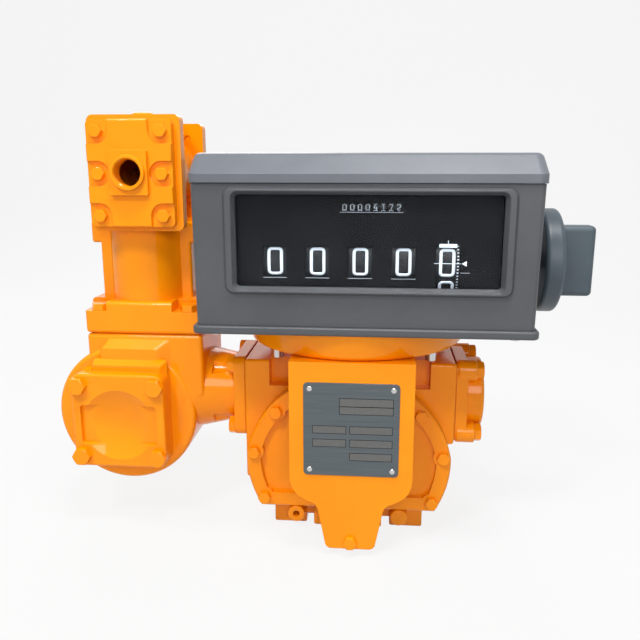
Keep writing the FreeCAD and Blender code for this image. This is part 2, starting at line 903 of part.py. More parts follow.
def make_drive():
    gear = bevel_gear(0, drive_nose_radius, lower_hub_length)
    apex = V(0, drive_axis_y, blocking_z)
    gear.Placement = FreeCAD.Placement(apex, FreeCAD.Rotation(V(0, 0, 1), V(0, 1, 0)))
    export(gear, "drive_bevel")

    upper = bevel_gear(180 / bevel_teeth, 0, upper_hub_length)
    upper.Placement = FreeCAD.Placement(apex, FreeCAD.Rotation())
    shaft_foot = blocking_z + bevel_pitch_radius
    shaft_top = case_floor_z + drive_bearing_depth - 1
    shaft = cylinder(vertical_shaft_radius, (0, drive_axis_y, shaft_foot), (0, 0, 1),
                     shaft_top - shaft_foot)
    export(fuse([upper, shaft]), "vertical_shaft")

    gland = hex_head(2 * gland_radius * 0.95, gland_height, (0, cover_front_y, blocking_z),
                     (0, -1, 0))
    bore = cylinder(shaft_radius + running_clearance, (0, cover_front_y - 20, blocking_z),
                    (0, 1, 0), 40)
    export(gland.cut(bore), "packing_gland")


def screw(point, direction, length, height=screw_head_height):
    """A round-head screw whose head sits on point and stands out along direction."""
    start = V(*point) - V(*direction) * length
    shank = Part.makeCylinder(screw_radius, length + 1, start, V(*direction))
    head = capped_cylinder(screw_head_radius, point, direction, height, screw_head_round)
    return head.fuse(shank).removeSplitter()


def outlet_side_plate(x0, x1):
    return side_plate(flange_centre_z, 2 * flange_half, flange_corner, x0, x1)


def make_outlet_flange():
    start = face_half + gasket_thickness
    face = start + flange_plate
    pieces = [outlet_side_plate(start, face)]
    for y, z in flange_bolts:
        pieces.append(soft_cylinder(outlet_boss_radius, (start + 1, y, flange_centre_z + z),
                                    (1, 0, 0), flange_plate - 1 + outlet_boss_length, 1.5))
    pieces.append(soft_cylinder(outlet_hub_radius, (start + 1, 0, flange_centre_z), (1, 0, 0),
                                flange_plate - 1 + outlet_hub_length, 3.0))
    end = face + outlet_hub_length
    tools = [cylinder(duct_radius, (start - 1, 0, flange_centre_z), (1, 0, 0), end - start + 2),
             cylinder(pipe_thread_radius, (end - pipe_thread_length, 0, flange_centre_z),
                      (1, 0, 0), pipe_thread_length + 1)]
    for y, z in flange_bolts:
        tools.append(cylinder(large_bolt_radius + bolt_clearance,
                              (start - 1, y, flange_centre_z + z), (1, 0, 0), 60))
    export(cut(fuse(pieces), tools), "outlet_flange")


def make_flange_bolts():
    fasteners = []
    outlet_seat = face_half + gasket_thickness + flange_plate + outlet_boss_length
    inlet_seat = face_half + gasket_thickness + flange_plate
    for y, z in flange_bolts:
        fasteners.append(large_bolt((outlet_seat, y, flange_centre_z + z), (1, 0, 0),
                                    outlet_seat - face_half + large_bolt_grip))
        fasteners.append(large_bolt((-inlet_seat, y, flange_centre_z + z), (-1, 0, 0),
                                    inlet_seat - face_half + large_bolt_grip))
    group(fasteners, "flange_bolts")


def bowl_screw_places():
    places = []
    for side in (-1, 1):
        for way, degrees in ((-1, bowl_screw_angle), (1, bowl_rear_angle)):
            angle = math.radians(degrees)
            places.append((adaptor_x + side * bowl_screw_radius * math.cos(angle),
                           bowl_centre_y + way * bowl_screw_radius * math.sin(angle)))
    return places


def make_adaptor():
    height = register_base_z - bowl_floor_z
    centre = V(adaptor_x, bowl_centre_y, bowl_floor_z)
    outside = Part.makeCone(bowl_foot_radius, bowl_radius, height, centre)
    outside = outside.makeFillet(bowl_round, [edge for edge in outside.Edges
                                              if edge.Closed and edge.BoundBox.ZMax < bowl_floor_z + 1])
    inside = Part.makeCone(bowl_foot_radius - bowl_wall, bowl_radius - bowl_wall,
                           height - bowl_floor + 1, centre + V(0, 0, bowl_floor))
    # the dish is cut off straight at the back, level with the register
    behind = box(-2 * bowl_radius, 2 * bowl_radius, bowl_back_y, 2 * bowl_radius,
                 bowl_floor_z - 1, register_base_z + 1)
    outside = outside.cut(behind)
    inside = inside.cut(box(-2 * bowl_radius, 2 * bowl_radius, bowl_back_y - bowl_wall,
                            2 * bowl_radius, bowl_floor_z - 1, register_base_z + 2))
    neck = soft_box(adaptor_x - neck_half_x, adaptor_x + neck_half_x, -neck_half_y, neck_half_y,
                    block_top_z, bowl_floor_z + bowl_floor - 0.5, 2.0)
    boss = cylinder(shaft_boss_radius, (0, drive_axis_y, bowl_floor_z - boss_foot), (0, 0, 1),
                    bowl_floor + 2 * boss_foot)
    posts = [cylinder(bowl_boss_radius, (x, y, bowl_floor_z + 1), (0, 0, 1), height - 1)
             for x, y in bowl_screw_places()]
    shape = fuse([outside.cut(inside), neck, boss] + posts)
    tools = [cylinder(vertical_shaft_radius + running_clearance, (0, drive_axis_y, 0),
                      (0, 0, 1), 2 * register_base_z)]
    for x, y in bowl_screw_places():
        tools.append(cylinder(screw_radius + bolt_clearance, (x, y, bowl_floor_z - 1), (0, 0, 1),
                              height + 2))
    for side in (-1, 1):
        tools.append(cylinder(screw_radius + bolt_clearance,
                              (adaptor_x + side * neck_screw_x, 0, block_top_z - 1),
                              (0, 0, 1), height))
        tools.append(cylinder(screw_radius + thread_clearance,
                              (adaptor_x + side * apron_tab_x, tab_screw_y, bowl_floor_z - 1),
                              (0, 0, 1), bowl_floor))
    export(cut(shape, tools), "adaptor_bowl")


def apron_outline(y):
    top = bowl_floor_z - seat_gap
    half = [(apron_half, top, 0), (apron_half, apron_shoulder_z, apron_shoulder_radius),
            (tongue_half_top + tongue_flare, apron_shoulder_z - tongue_shoulder_drop, tongue_round),
            (tongue_half_bottom, tongue_bottom_z, tongue_corner)]
    mirrored = [(-x, z, radius) for x, z, radius in reversed(half)]
    return rounded_outline([(adaptor_x + x, z, radius) for x, z, radius in half + mirrored], y)


def rivet_places():
    across = plate_width - 2 * rivet_inset
    up = plate_height - 2 * rivet_inset
    return [(adaptor_x + x, plate_centre_z + z) for x, z in rectangle(across, up)]


def make_apron():
    back = apron_front_y + apron_thickness
    top = bowl_floor_z - seat_gap
    sheet = Part.Face(apron_outline(apron_front_y)).extrude(V(0, apron_thickness, 0))
    pieces = [sheet]
    side_floor = apron_shoulder_z + apron_shoulder_radius + side_lift
    for side in (-1, 1):
        low, high = sorted((adaptor_x + side * apron_half,
                            adaptor_x + side * (apron_half - apron_thickness)))
        pieces.append(box(low, high, back - 1, apron_return_y, side_floor, top))
    reach = apron_half - apron_thickness
    pieces.append(box(adaptor_x - reach, adaptor_x + reach, back - 1, apron_tab_y,
                      top - apron_thickness, top))
    tools = [cylinder(small_bolt_radius + bolt_clearance,
                      (adaptor_x, apron_front_y - 1, tongue_bolt_z), (0, 1, 0),
                      apron_thickness + 2)]
    for x, z in rivet_places():
        tools.append(cylinder(rivet_shank_radius + thread_clearance, (x, apron_front_y - 1, z),
                              (0, 1, 0), apron_thickness + 2))
    for side in (-1, 1):
        tools.append(cylinder(screw_radius + bolt_clearance,
                              (adaptor_x + side * apron_tab_x, tab_screw_y,
                               top - 2 * apron_thickness), (0, 0, 1), 3 * apron_thickness))
    tools.append(cylinder(shaft_boss_radius + 1, (0, drive_axis_y, top - 2 * apron_thickness),
                          (0, 0, 1), 3 * apron_thickness))
    export(cut(fuse(pieces), tools), "apron")

    plate = rounded_plate(adaptor_x, plate_centre_z, plate_width, plate_height, plate_corner,
                          apron_front_y - plate_thickness, apron_front_y)
    holes = [cylinder(rivet_shank_radius + thread_clearance, (x, apron_front_y - 2, z), (0, 1, 0), 4)
             for x, z in rivet_places()]
    export(cut(plate, holes), "nameplate")

    rivets = []
    for x, z in rivet_places():
        start = (x, apron_front_y - plate_thickness, z)
        head = capped_cylinder(rivet_radius, start, (0, -1, 0), rivet_rise, rivet_round)
        shank = cylinder(rivet_shank_radius, start, (0, 1, 0), plate_thickness + apron_thickness)
        rivets.append(head.fuse(shank).removeSplitter())
    group(rivets, "nameplate_rivets")
    export(small_bolt((adaptor_x, apron_front_y, tongue_bolt_z), (0, -1, 0), apron_bolt_length),
           "apron_bolt")


def make_adaptor_screws():
    screws = []
    for x, y in bowl_screw_places():
        # the tall head is drilled across for a sealing wire
        sealing = screw((x, y, bowl_floor_z), (0, 0, -1),
                        register_base_z - bowl_floor_z + bowl_screw_bite, sealing_head_height)
        across = cylinder(sealing_hole_radius,
                          (x - 2 * screw_head_radius, y, bowl_floor_z - 0.7 * sealing_head_height),
                          (1, 0, 0), 4 * screw_head_radius)
        screws.append(sealing.cut(across))
    for side in (-1, 1):
        screws.append(screw((adaptor_x + side * neck_screw_x, 0, bowl_floor_z + bowl_floor),
                            (0, 0, 1), bowl_floor_z + bowl_floor - block_top_z + neck_screw_depth))
        tab_floor = bowl_floor_z - seat_gap - apron_thickness
        screws.append(screw((adaptor_x + side * apron_tab_x, tab_screw_y, tab_floor),
                            (0, 0, -1), apron_thickness + tab_screw_bite))
    for x, y in register_screw_places():
        screws.append(screw((x, y, register_base_z), (0, 0, -1),
                            register_base_thickness + register_screw_bite))
    group(screws, "plated_screws")


register_depth = register_back_y - register_front_y
register_y = (register_back_y + register_front_y) / 2
case_floor_z = register_base_z + register_base_thickness
case_top_z = case_floor_z + case_height
case_inside_y = register_front_y + case_front_wall
window_back_y = case_inside_y + window_thickness
dial_front_y = case_inside_y + dial_setback
dial_back_y = dial_front_y + dial_thickness
wheel_y = dial_back_y + wheel_dial_gap + wheel_radius
total_y = dial_back_y + wheel_dial_gap + total_radius
wheel_row_half = (wheel_count - 1) / 2 * wheel_pitch + wheel_width / 2 + wheel_row_margin
wheel_row_centre = register_x + wheel_row_x
frame_left_x = wheel_row_centre - wheel_row_half - frame_plate
frame_right_x = wheel_row_centre + wheel_row_half
riser_x = frame_right_x + frame_plate


def register_screw_places():
    return [(register_x + x, register_y + y)
            for x, y in rectangle(2 * (case_half_bottom - base_screw_inset),
                                  register_depth - 2 * base_screw_inset)]


def wheel_centres():
    first = wheel_row_centre - (wheel_count - 1) / 2 * wheel_pitch
    return [first + index * wheel_pitch for index in range(wheel_count)]


def total_centres():
    first = register_x + total_x - (total_count - 1) / 2 * total_pitch
    return [first + index * total_pitch for index in range(total_count)]


def make_register_case():
    half = register_base_half
    base = flat_plate(register_x, register_y, 2 * half, register_depth + 2 * base_overhang,
                      base_corner, register_base_z, case_floor_z)
    base = base.makeFillet(base_upper_round, [edge for edge in base.Edges
                                              if edge.BoundBox.ZMin > case_floor_z - 0.1])
    base = base.makeFillet(base_lower_round, [edge for edge in base.Edges
                                              if edge.BoundBox.ZMax < register_base_z + 0.1])
    tools = [cylinder(vertical_shaft_radius + 2, (0, drive_axis_y, register_base_z - 1),
                      (0, 0, 1), register_base_thickness + 2)]
    for x, y in bowl_screw_places():
        tools.append(cylinder(screw_radius + thread_clearance, (x, y, register_base_z - 1),
                              (0, 0, 1), bowl_screw_pocket))
    for x, y in register_screw_places():
        tools.append(cylinder(screw_radius + bolt_clearance, (x, y, register_base_z - 1),
                              (0, 0, 1), register_base_thickness + 2))
    export(cut(base, tools), "register_base")

    lower = (2 * case_half_bottom, register_depth, case_corner)
    upper = (2 * case_half_top, register_depth, case_corner)
    shell = lay_flat(tapered_plate(register_x, -register_y, lower, upper, case_floor_z, case_top_z))
    inner_lower = (lower[0] - 2 * case_wall, register_depth - case_wall - case_front_wall,
                   case_inner_corner)
    inner_upper = (upper[0] - 2 * case_wall, inner_lower[1], case_inner_corner)
    inner_y = register_y + (case_front_wall - case_wall) / 2
    hollow = lay_flat(tapered_plate(register_x, -inner_y, inner_lower, inner_upper,
                                    case_floor_z, case_top_z))
    bezel_centre = register_x + bezel_x
    grow = 2 * bezel_chamfer
    ring = tapered_plate(bezel_centre, bezel_z,
                         (bezel_width - grow, bezel_height - grow, bezel_corner - bezel_chamfer),
                         (bezel_width, bezel_height, bezel_corner),
                         register_front_y - bezel_rise, register_front_y + 0.5)
    mouth = 2 * opening_chamfer
    flare = tapered_plate(bezel_centre, bezel_z,
                          (opening_width + mouth, opening_height + mouth,
                           opening_corner + opening_chamfer),
                          (opening_width, opening_height, opening_corner),
                          register_front_y - bezel_rise, register_front_y + 2)
    through = rounded_plate(bezel_centre, bezel_z, opening_width, opening_height, opening_corner,
                            register_front_y, case_inside_y + 1)
    posts = [cylinder(post_radius, (x, y, case_floor_z), (0, 0, 1), post_height)
             for x, y in register_screw_places()]
    # each post is webbed to the side wall beside it
    for x, y in register_screw_places():
        side = 1 if x > register_x else -1
        low, high = sorted((x, register_x + side * (case_half_bottom - case_wall / 2)))
        posts.append(box(low, high, y - post_web_half, y + post_web_half, case_floor_z,
                         case_floor_z + post_height))
    shape = shell.cut(hollow)
    shape = fuse([shape, ring] + posts)
    tools = [flare, through]
    tools.append(cylinder(sleeve_radius + seat_gap,
                          (register_x + case_half_bottom - 2 * sleeve_radius, knob_y, knob_z),
                          (1, 0, 0), 3 * sleeve_radius))
    for x, y in register_screw_places():
        tools.append(cylinder(screw_radius + thread_clearance, (x, y, case_floor_z - 1),
                              (0, 0, 1), register_screw_bite + 2))
    export(cut(shape, tools), "register_case")


def lid_shape(inset):
    base_z = case_top_z + (lid_gap if inset == 0 else -1)
    lip_z = case_top_z + lid_lip
    top_z = case_top_z + lid_height - inset
    half = case_half_top + lid_overhang - inset
    depth = register_depth + 2 * (lid_overhang - inset)
    lip = flat_plate(register_x, register_y, 2 * half, depth, lid_corner, base_z, lip_z)
    # the hollow's roof is drawn in twice over, so that the rounded rim keeps its wall
    roof_half = half - lid_side_slope - inset
    roof_depth = depth - lid_front_slope - lid_side_slope - 2 * inset
    roof_y = register_y + (lid_front_slope - lid_side_slope) / 2
    start = rounded_wire(register_x, -register_y, 2 * half, depth, lid_corner, lip_z)
    end = rounded_wire(register_x, -roof_y, 2 * roof_half, roof_depth, lid_roof_corner, top_z)
    roof = lay_flat(Part.makeLoft([start, end], True, True))
    return lip, roof, top_z


def make_register_lid():
    lip, roof, top_z = lid_shape(0)
    outside = fuse([lip, roof])
    outside = outside.makeFillet(lid_round, [edge for edge in outside.Edges
                                             if edge.BoundBox.ZMin > top_z - 0.1])
    lip, roof, top_z = lid_shape(lid_wall)
    export(outside.cut([lip, roof]), "register_lid")


def make_window_and_dial():
    centre = register_x + bezel_x
    width = opening_width + 2 * window_margin
    height = opening_height + 2 * window_margin
    glass = rounded_plate(centre, bezel_z, width, height, window_corner, case_inside_y,
                          window_back_y)
    export(glass, "window")

    outer = rounded_plate(centre, bezel_z, width + 2 * dial_border, height + 2 * dial_border,
                          dial_corner, case_inside_y, dial_back_y)
    inner = rounded_plate(centre, bezel_z, width + 2 * seat_gap, height + 2 * seat_gap,
                          window_corner, case_inside_y - 1, dial_front_y)
    tools = [inner]
    for index, x in enumerate(wheel_centres()):
        last = index == wheel_count - 1
        height = unit_window_height if last else figure_window_height
        drop = unit_window_drop if last else 0
        tools.append(box(x - figure_window_width / 2, x + figure_window_width / 2,
                         dial_front_y - 1, dial_back_y + 1,
                         wheel_z - height / 2 - drop, wheel_z + height / 2 - drop))
    half = total_count * total_pitch / 2
    total_centre = register_x + total_x
    tools.append(box(total_centre - half, total_centre + half, dial_front_y - 1, dial_back_y + 1,
                     total_z - total_window_height / 2, total_z + total_window_height / 2))
    export(cut(outer, tools), "dial_plate")


def make_register_frame():
    back = wheel_y + wheel_radius
    front = dial_back_y + 1
    pieces = [box(frame_left_x, frame_right_x + frame_plate, wheel_y + foot_plate_start, back,
                  case_floor_z, case_floor_z + frame_plate)]
    for x in (frame_left_x, frame_right_x):
        pieces.append(box(x, x + frame_plate, front, back, case_floor_z,
                          total_z + total_radius + frame_margin))
    tools = []
    for radius, y, z in ((wheel_shaft_radius, wheel_y, wheel_z),
                         (total_shaft_radius, total_y, total_z)):
        tools.append(cylinder(radius + running_clearance, (frame_left_x - 1, y, z), (1, 0, 0),
                              2 * frame_half))
    run_front = drive_axis_y - gear_case_half
    run_back = drive_axis_y + gear_case_half
    tools.append(box(frame_right_x - 1, frame_right_x + frame_plate + 1,
                     run_front - gear_case_gap, run_back + gear_case_gap, case_floor_z - 1,
                     case_floor_z + gear_case_floor + gear_case_gap))
    export(cut(fuse(pieces), tools), "register_frame")

    riser_back = knob_y + gear_case_back
    run = box(-gear_case_half, riser_x + gear_case_width, run_front, run_back, case_floor_z,
              case_floor_z + gear_case_floor)
    riser = box(riser_x, riser_x + gear_case_width, run_front, riser_back, case_floor_z,
                wheel_z + gear_case_rise)
    tools = [cylinder(vertical_shaft_radius + running_clearance, (0, drive_axis_y, 0), (0, 0, 1),
                      case_floor_z + drive_bearing_depth),
             cylinder(wheel_shaft_radius + running_clearance, (riser_x - 1, wheel_y, wheel_z),
                      (1, 0, 0), bearing_depth + 2),
             cylinder(knob_shaft_radius + running_clearance,
                      (riser_x + gear_case_width - bearing_depth, knob_y, knob_z), (1, 0, 0),
                      bearing_depth + 2)]
    export(cut(fuse([run, riser]), tools), "register_gear_case")


def figure_wheel(x, bore):
    start = x - wheel_width / 2
    rim = cylinder(wheel_radius, (start, wheel_y, wheel_z), (1, 0, 0), wheel_width)
    hollow = cylinder(wheel_radius - wheel_rim, (start - 1, wheel_y, wheel_z), (1, 0, 0),
                      wheel_width + 2)
    web = cylinder(wheel_radius - wheel_rim / 2, (x - wheel_web / 2, wheel_y, wheel_z), (1, 0, 0),
                   wheel_web)
    hub = cylinder(wheel_hub_radius, (start, wheel_y, wheel_z), (1, 0, 0), wheel_width)
    wheel = fuse([rim.cut(hollow), web, hub])
    tools = [cylinder(bore, (start - 1, wheel_y, wheel_z), (1, 0, 0), wheel_width + 2)]
    for turn in range(lightening_holes):
        angle = 2 * math.pi * turn / lightening_holes
        tools.append(cylinder(lightening_radius,
                              (start, wheel_y + lightening_place * math.cos(angle),
                               wheel_z + lightening_place * math.sin(angle)), (1, 0, 0),
                              wheel_width))
    return cut(wheel, tools)


def make_wheels():
    centres = wheel_centres()
    for index, x in enumerate(centres):
        fixed = index == wheel_count - 1
        bore = wheel_shaft_radius + (0 if fixed else running_clearance)
        export(figure_wheel(x, bore), "figure_wheel_%d" % (wheel_count - index))
    start = frame_left_x - shaft_end
    export(cylinder(wheel_shaft_radius, (start, wheel_y, wheel_z), (1, 0, 0),
                    riser_x + bearing_depth + seat_gap - start), "wheel_shaft")
    wheels = []
    for index, x in enumerate(total_centres()):
        wheel = cylinder(total_radius, (x - total_width / 2, total_y, total_z), (1, 0, 0),
                         total_width)
        bore = cylinder(total_shaft_radius + running_clearance,
                        (x - total_width / 2 - 1, total_y, total_z), (1, 0, 0), total_width + 2)
        export(wheel.cut(bore), "total_wheel_%d" % (total_count - index))
    export(cylinder(total_shaft_radius, (start, total_y, total_z), (1, 0, 0),
                    frame_right_x + frame_plate + shaft_end - start), "total_shaft")


def make_knob():
    side_x = register_x + case_half_bottom + (case_half_top - case_half_bottom) * (
        (knob_z - case_floor_z) / case_height)
    bush_start = register_x + case_half_bottom - case_wall - sleeve_reach
    bush = soft_cylinder(knob_collar_radius, (side_x + knob_collar_gap, knob_y, knob_z),
                         (1, 0, 0), knob_collar_width)
    sleeve = cylinder(sleeve_radius, (bush_start, knob_y, knob_z), (1, 0, 0),
                      side_x + 2 - bush_start)
    bore = cylinder(knob_shaft_radius + running_clearance, (bush_start - 1, knob_y, knob_z),
                    (1, 0, 0), knob_disc_x - bush_start)
    export(bush.fuse(sleeve).cut(bore), "knob_bush")

    disc = soft_cylinder(knob_disc_radius, (knob_disc_x, knob_y, knob_z), (1, 0, 0),
                         knob_disc_thickness, knob_round)
    grip_start = knob_disc_x + knob_disc_thickness - grip_overlap
    grip = soft_box(grip_start, knob_disc_x + knob_disc_thickness + knob_grip_length,
                    knob_y - knob_grip_thickness / 2, knob_y + knob_grip_thickness / 2,
                    knob_z - knob_grip_height / 2, knob_z + knob_grip_height / 2, grip_round)
    shaft_start = riser_x + gear_case_width - bearing_depth + seat_gap
    shaft = cylinder(knob_shaft_radius, (shaft_start, knob_y, knob_z), (1, 0, 0),
                     knob_disc_x + 2 - shaft_start)
    export(fuse([disc, grip, shaft]), "reset_knob")


def port_places():
    across = port_width - 2 * port_bolt_edge_x
    up = port_height - 2 * port_bolt_edge_z
    return [(drum_x + x, drum_z + z) for x, z in rectangle(across, up)]


port_front_y = -(drum_half_depth + port_flange)
port_cover_y = port_front_y - gasket_thickness
column_bolt_centre = (saddle_left_x + saddle_right_x) / 2
column_bolts = [(column_bolt_centre + x, y)
                for x, y in rectangle(saddle_right_x - saddle_left_x - 2 * column_bolt_edge_x,
                                      2 * (saddle_half_depth - column_bolt_edge_y))]


def make_strainer():
    centre = (drum_x, -drum_half_depth, drum_z)
    drum = soft_cylinder(drum_radius, centre, (0, 1, 0), 2 * drum_half_depth, port_edge_round)
    square = rounded_plate(drum_x, drum_z, port_width, port_height, port_corner,
                           port_front_y, -port_front_y)
    saddle = soft_box(saddle_left_x, saddle_right_x, -saddle_half_depth, saddle_half_depth,
                      saddle_floor_z, saddle_top_z, saddle_round)
    neck_end = -(face_half + gasket_thickness + flange_plate)
    neck = Part.makeCone(neck_drum_radius, neck_flange_radius, neck_end + 1 - neck_start_x,
                         V(neck_start_x, 0, flange_centre_z), V(1, 0, 0))
    flange = outlet_side_plate(neck_end, -(face_half + gasket_thickness))
    pieces = [drum, square, saddle, neck, flange]
    for moulding in (upper_moulding, lower_moulding):
        wires = []
        for middle, width, top, y in moulding:
            wires.append(rounded_wire(drum_x + middle, (moulding_floor + top) / 2, width,
                                      top - moulding_floor, cover_round, y))
        pieces.append(Part.makeLoft(wires, True, True))
    shape = fuse(pieces)
    inner = 2 * (drum_half_depth - drum_wall)
    tools = [cylinder(drum_radius - drum_wall, (drum_x, -inner / 2, drum_z), (0, 1, 0), inner),
             cylinder(basket_radius + 1, (drum_x, port_front_y - 1, drum_z), (0, 1, 0),
                      strainer_bore_depth),
             cylinder(duct_radius, (drum_x, inlet_bore_start, drum_z), (0, 1, 0),
                      inlet_bore_depth),
             cylinder(duct_radius, (drum_x + neck_bore_start, 0, flange_centre_z), (1, 0, 0),
                      neck_bore_length),
             cylinder(column_bore - column_seat_step, (air_x, 0, drum_z), (0, 0, 1),
                      saddle_top_z),
             soft_box(saddle_left_x + saddle_wall, saddle_right_x - saddle_wall,
                      saddle_wall - saddle_half_depth, saddle_half_depth - saddle_wall,
                      saddle_floor_z + saddle_wall, saddle_top_z - saddle_roof)]
    for x, z in port_places():
        for way in (-1, 1):
            tools.append(cylinder(large_bolt_radius + thread_clearance,
                                  (x, way * (1 - port_front_y), z), (0, -way, 0),
                                  large_bolt_grip + 1))
    for y, z in flange_bolts:
        tools.append(cylinder(large_bolt_radius + bolt_clearance,
                              (neck_end - spot_face_depth, y, flange_centre_z + z), (1, 0, 0),
                              2 * spot_face_depth))
    # spot faces let the flange bolt heads seat beside the neck
    for y, z in flange_bolts:
        tools.append(cylinder(spot_face_radius,
                              (neck_end - spot_face_depth, y, flange_centre_z + z), (1, 0, 0),
                              spot_face_depth))
    for x, y in column_bolts:
        tools.append(cylinder(large_bolt_radius + thread_clearance,
                              (x, y, saddle_top_z - large_bolt_grip - drill_over), (0, 0, 1),
                              large_bolt_grip + 2 * drill_over))
    export(cut(shape, tools), "strainer_body")


def make_inlet_cover():
    back = port_cover_y
    front = back - inlet_cover_thickness
    plate = rounded_plate(drum_x, drum_z, port_width, port_height, port_corner, front, back)
    plate = plate.makeFillet(cover_round, [edge for edge in plate.Edges
                                           if edge.BoundBox.YMax < front + 0.1])
    sphere_radius = (dish_radius ** 2 + dish_depth ** 2) / (2 * dish_depth)
    dish_z = drum_z - dish_drop
    dish = Part.makeSphere(sphere_radius, V(drum_x, front - sphere_radius + dish_depth, dish_z))
    relief_half = dish_radius + 2
    relief = box(drum_x - relief_half, drum_x + relief_half, front - 1, front + relief_depth,
                 dish_z - relief_half_z, dish_z + relief_half_z)
    tools = [dish, relief.makeFillet(casting_round, [edge for edge in relief.Edges
                                                     if edge.BoundBox.YLength > relief_depth])]
    for x, z in port_places():
        tools.append(cylinder(large_bolt_radius + bolt_clearance, (x, front - 1, z), (0, 1, 0),
                              inlet_cover_thickness + 2))
    export(cut(plate, tools), "strainer_cover")

    rear = -port_cover_y
    face = rear + inlet_cover_thickness
    plate = rounded_plate(drum_x, drum_z, port_width, port_height, port_corner, rear, face)
    hub = soft_cylinder(inlet_hub_radius, (drum_x, rear + 1, drum_z), (0, 1, 0),
                        inlet_cover_thickness - 1 + inlet_boss_length, cover_round)
    end = face + inlet_boss_length
    # the thread stops short of the gasket face
    thread_start = rear + gasket_face
    tools = [cylinder(duct_radius, (drum_x, rear - 1, drum_z), (0, 1, 0), end - rear + 2),
             cylinder(pipe_thread_radius, (drum_x, thread_start, drum_z), (0, 1, 0),
                      end - thread_start + 1)]
    for x, z in port_places():
        tools.append(cylinder(large_bolt_radius + bolt_clearance, (x, rear - 1, z), (0, 1, 0),
                              inlet_cover_thickness + inlet_boss_length))
    export(cut(fuse([plate, hub]), tools), "inlet_flange")

    fasteners = []
    reach = inlet_cover_thickness + gasket_thickness + large_bolt_grip - 1
    for x, z in port_places():
        fasteners.append(large_bolt((x, front, z), (0, -1, 0), reach))
        fasteners.append(large_bolt((x, face, z), (0, 1, 0), reach))
    group(fasteners, "strainer_bolts")

    depth = 2 * drum_half_depth - drum_wall
    start = port_cover_y + 0.3
    basket = cylinder(basket_radius, (drum_x, start, drum_z), (0, 1, 0), depth)
    hollow = cylinder(basket_radius - basket_wall, (drum_x, start - 1, drum_z), (0, 1, 0),
                      depth + 1 - basket_wall)
    tools = [hollow]
    for turn in range(basket_slots):
        slot = box(drum_x - basket_slot_width / 2, drum_x + basket_slot_width / 2,
                   start + basket_land, start + depth - basket_land, drum_z,
                   drum_z + 2 * basket_radius)
        slot.rotate(V(drum_x, 0, drum_z), V(0, 1, 0), 360 * turn / basket_slots)
        tools.append(slot)
    export(cut(basket, tools), "strainer_basket")


air_front_y = -(head_half_depth + 2)
air_plate_y = air_front_y - gasket_thickness
air_cover_x = (air_cover_left_x + air_cover_right_x) / 2
air_cover_z = (air_cover_floor_z + air_cover_top_z) / 2
air_cover_width = air_cover_right_x - air_cover_left_x
air_cover_height = air_cover_top_z - air_cover_floor_z


def air_bolt_places(height=air_cover_height):
    half_x = air_cover_width / 2 - air_bolt_inset_x
    half_z = height / 2 - air_bolt_inset_z
    return [(air_cover_x + side * half_x, air_cover_z + level * half_z)
            for level in (-1, 0, 1) for side in (-1, 1)]


def make_air_body():
    floor = saddle_top_z + gasket_thickness
    flange_top = floor + base_flange_height
    base = soft_box(saddle_left_x, saddle_right_x, -saddle_half_depth - 1, saddle_half_depth + 1,
                    floor, flange_top, base_flange_round)
    column = soft_box(air_x - column_half, air_x + column_half, column_front_y, column_back_y,
                      floor + casting_overlap, head_floor_z + casting_overlap, casting_round)
    barrel = soft_cylinder(column_round_radius, (air_x, column_round_y, floor + casting_overlap),
                           (0, 0, 1), head_top_z - floor - casting_overlap, casting_round)
    ledge = soft_box(head_left_x, head_right_x, ledge_front_y, ledge_back_y, head_floor_z,
                     head_floor_z + ledge_height, casting_round)
    cross_half = head_half_depth - head_flange + 1
    cross = cylinder(column_round_radius, (air_cover_x, -cross_half, air_cover_z), (0, 1, 0),
                     2 * cross_half)
    bump = soft_cylinder(head_bump_radius, (air_x, 0, head_top_z - 1), (0, 0, 1),
                         head_bump_rise + 1, land_depth / 2)
    pieces = [base, column, barrel, ledge, cross, bump]
    for way, height in ((-1, air_cover_height), (1, rear_cover_height)):
        low, high = sorted((way * (head_half_depth - head_flange), -way * air_front_y))
        pieces.append(rounded_plate(air_cover_x + head_flange_shift, air_cover_z,
                                    air_cover_width + 2 * head_flange_edge_x,
                                    height + 2 * head_flange_edge_z, head_flange_corner,
                                    low, high))
    shape = fuse(pieces)
    bore_top = head_top_z - head_wall
    tools = [cylinder(column_bore, (air_x, 0, floor - 1), (0, 0, 1), bore_top - floor + 1),
             soft_box(air_x - column_half + column_wall, air_x + column_half - column_wall,
                      column_front_y + column_wall, column_back_y - column_wall,
                      flange_top, head_floor_z - 1),
             cylinder(column_bore, (air_cover_x, air_front_y - 1, air_cover_z), (0, 1, 0),
                      2 - 2 * air_front_y)]
    # the bolts stand on ears, lower than the middle of the base flange
    reach = saddle_right_x - saddle_left_x
    for x, y in column_bolts:
        side = 1 if x > air_x else -1
        way = 1 if y > 0 else -1
        low, high = sorted((air_x + side * ear_inner_x, air_x + side * reach))
        front, back = sorted((way * ear_inner_y, way * reach))
        ear = box(low, high, front, back, flange_top - ear_depth, flange_top + 1)
        # the column and the barrel stay whole beside an ear
        tools.append(ear.cut([column, barrel]))
        tools.append(cylinder(spot_face_radius, (x, y, flange_top - ear_depth), (0, 0, 1),
                              ear_depth - 1))
        tools.append(cylinder(large_bolt_radius + bolt_clearance, (x, y, floor - 1), (0, 0, 1),
                              base_flange_height + 2))
    for way, height in ((-1, air_cover_height), (1, rear_cover_height)):
        for x, z in air_bolt_places(height):
            tools.append(cylinder(small_bolt_radius + thread_clearance,
                                  (x, way * (1 - air_front_y), z), (0, -way, 0),
                                  small_bolt_grip + 1))
    export(cut(shape, tools), "air_eliminator_body")


def air_plate(y0, y1, height=air_cover_height):
    return rounded_plate(air_cover_x, air_cover_z, air_cover_width, height, air_cover_corner,
                         y0, y1)


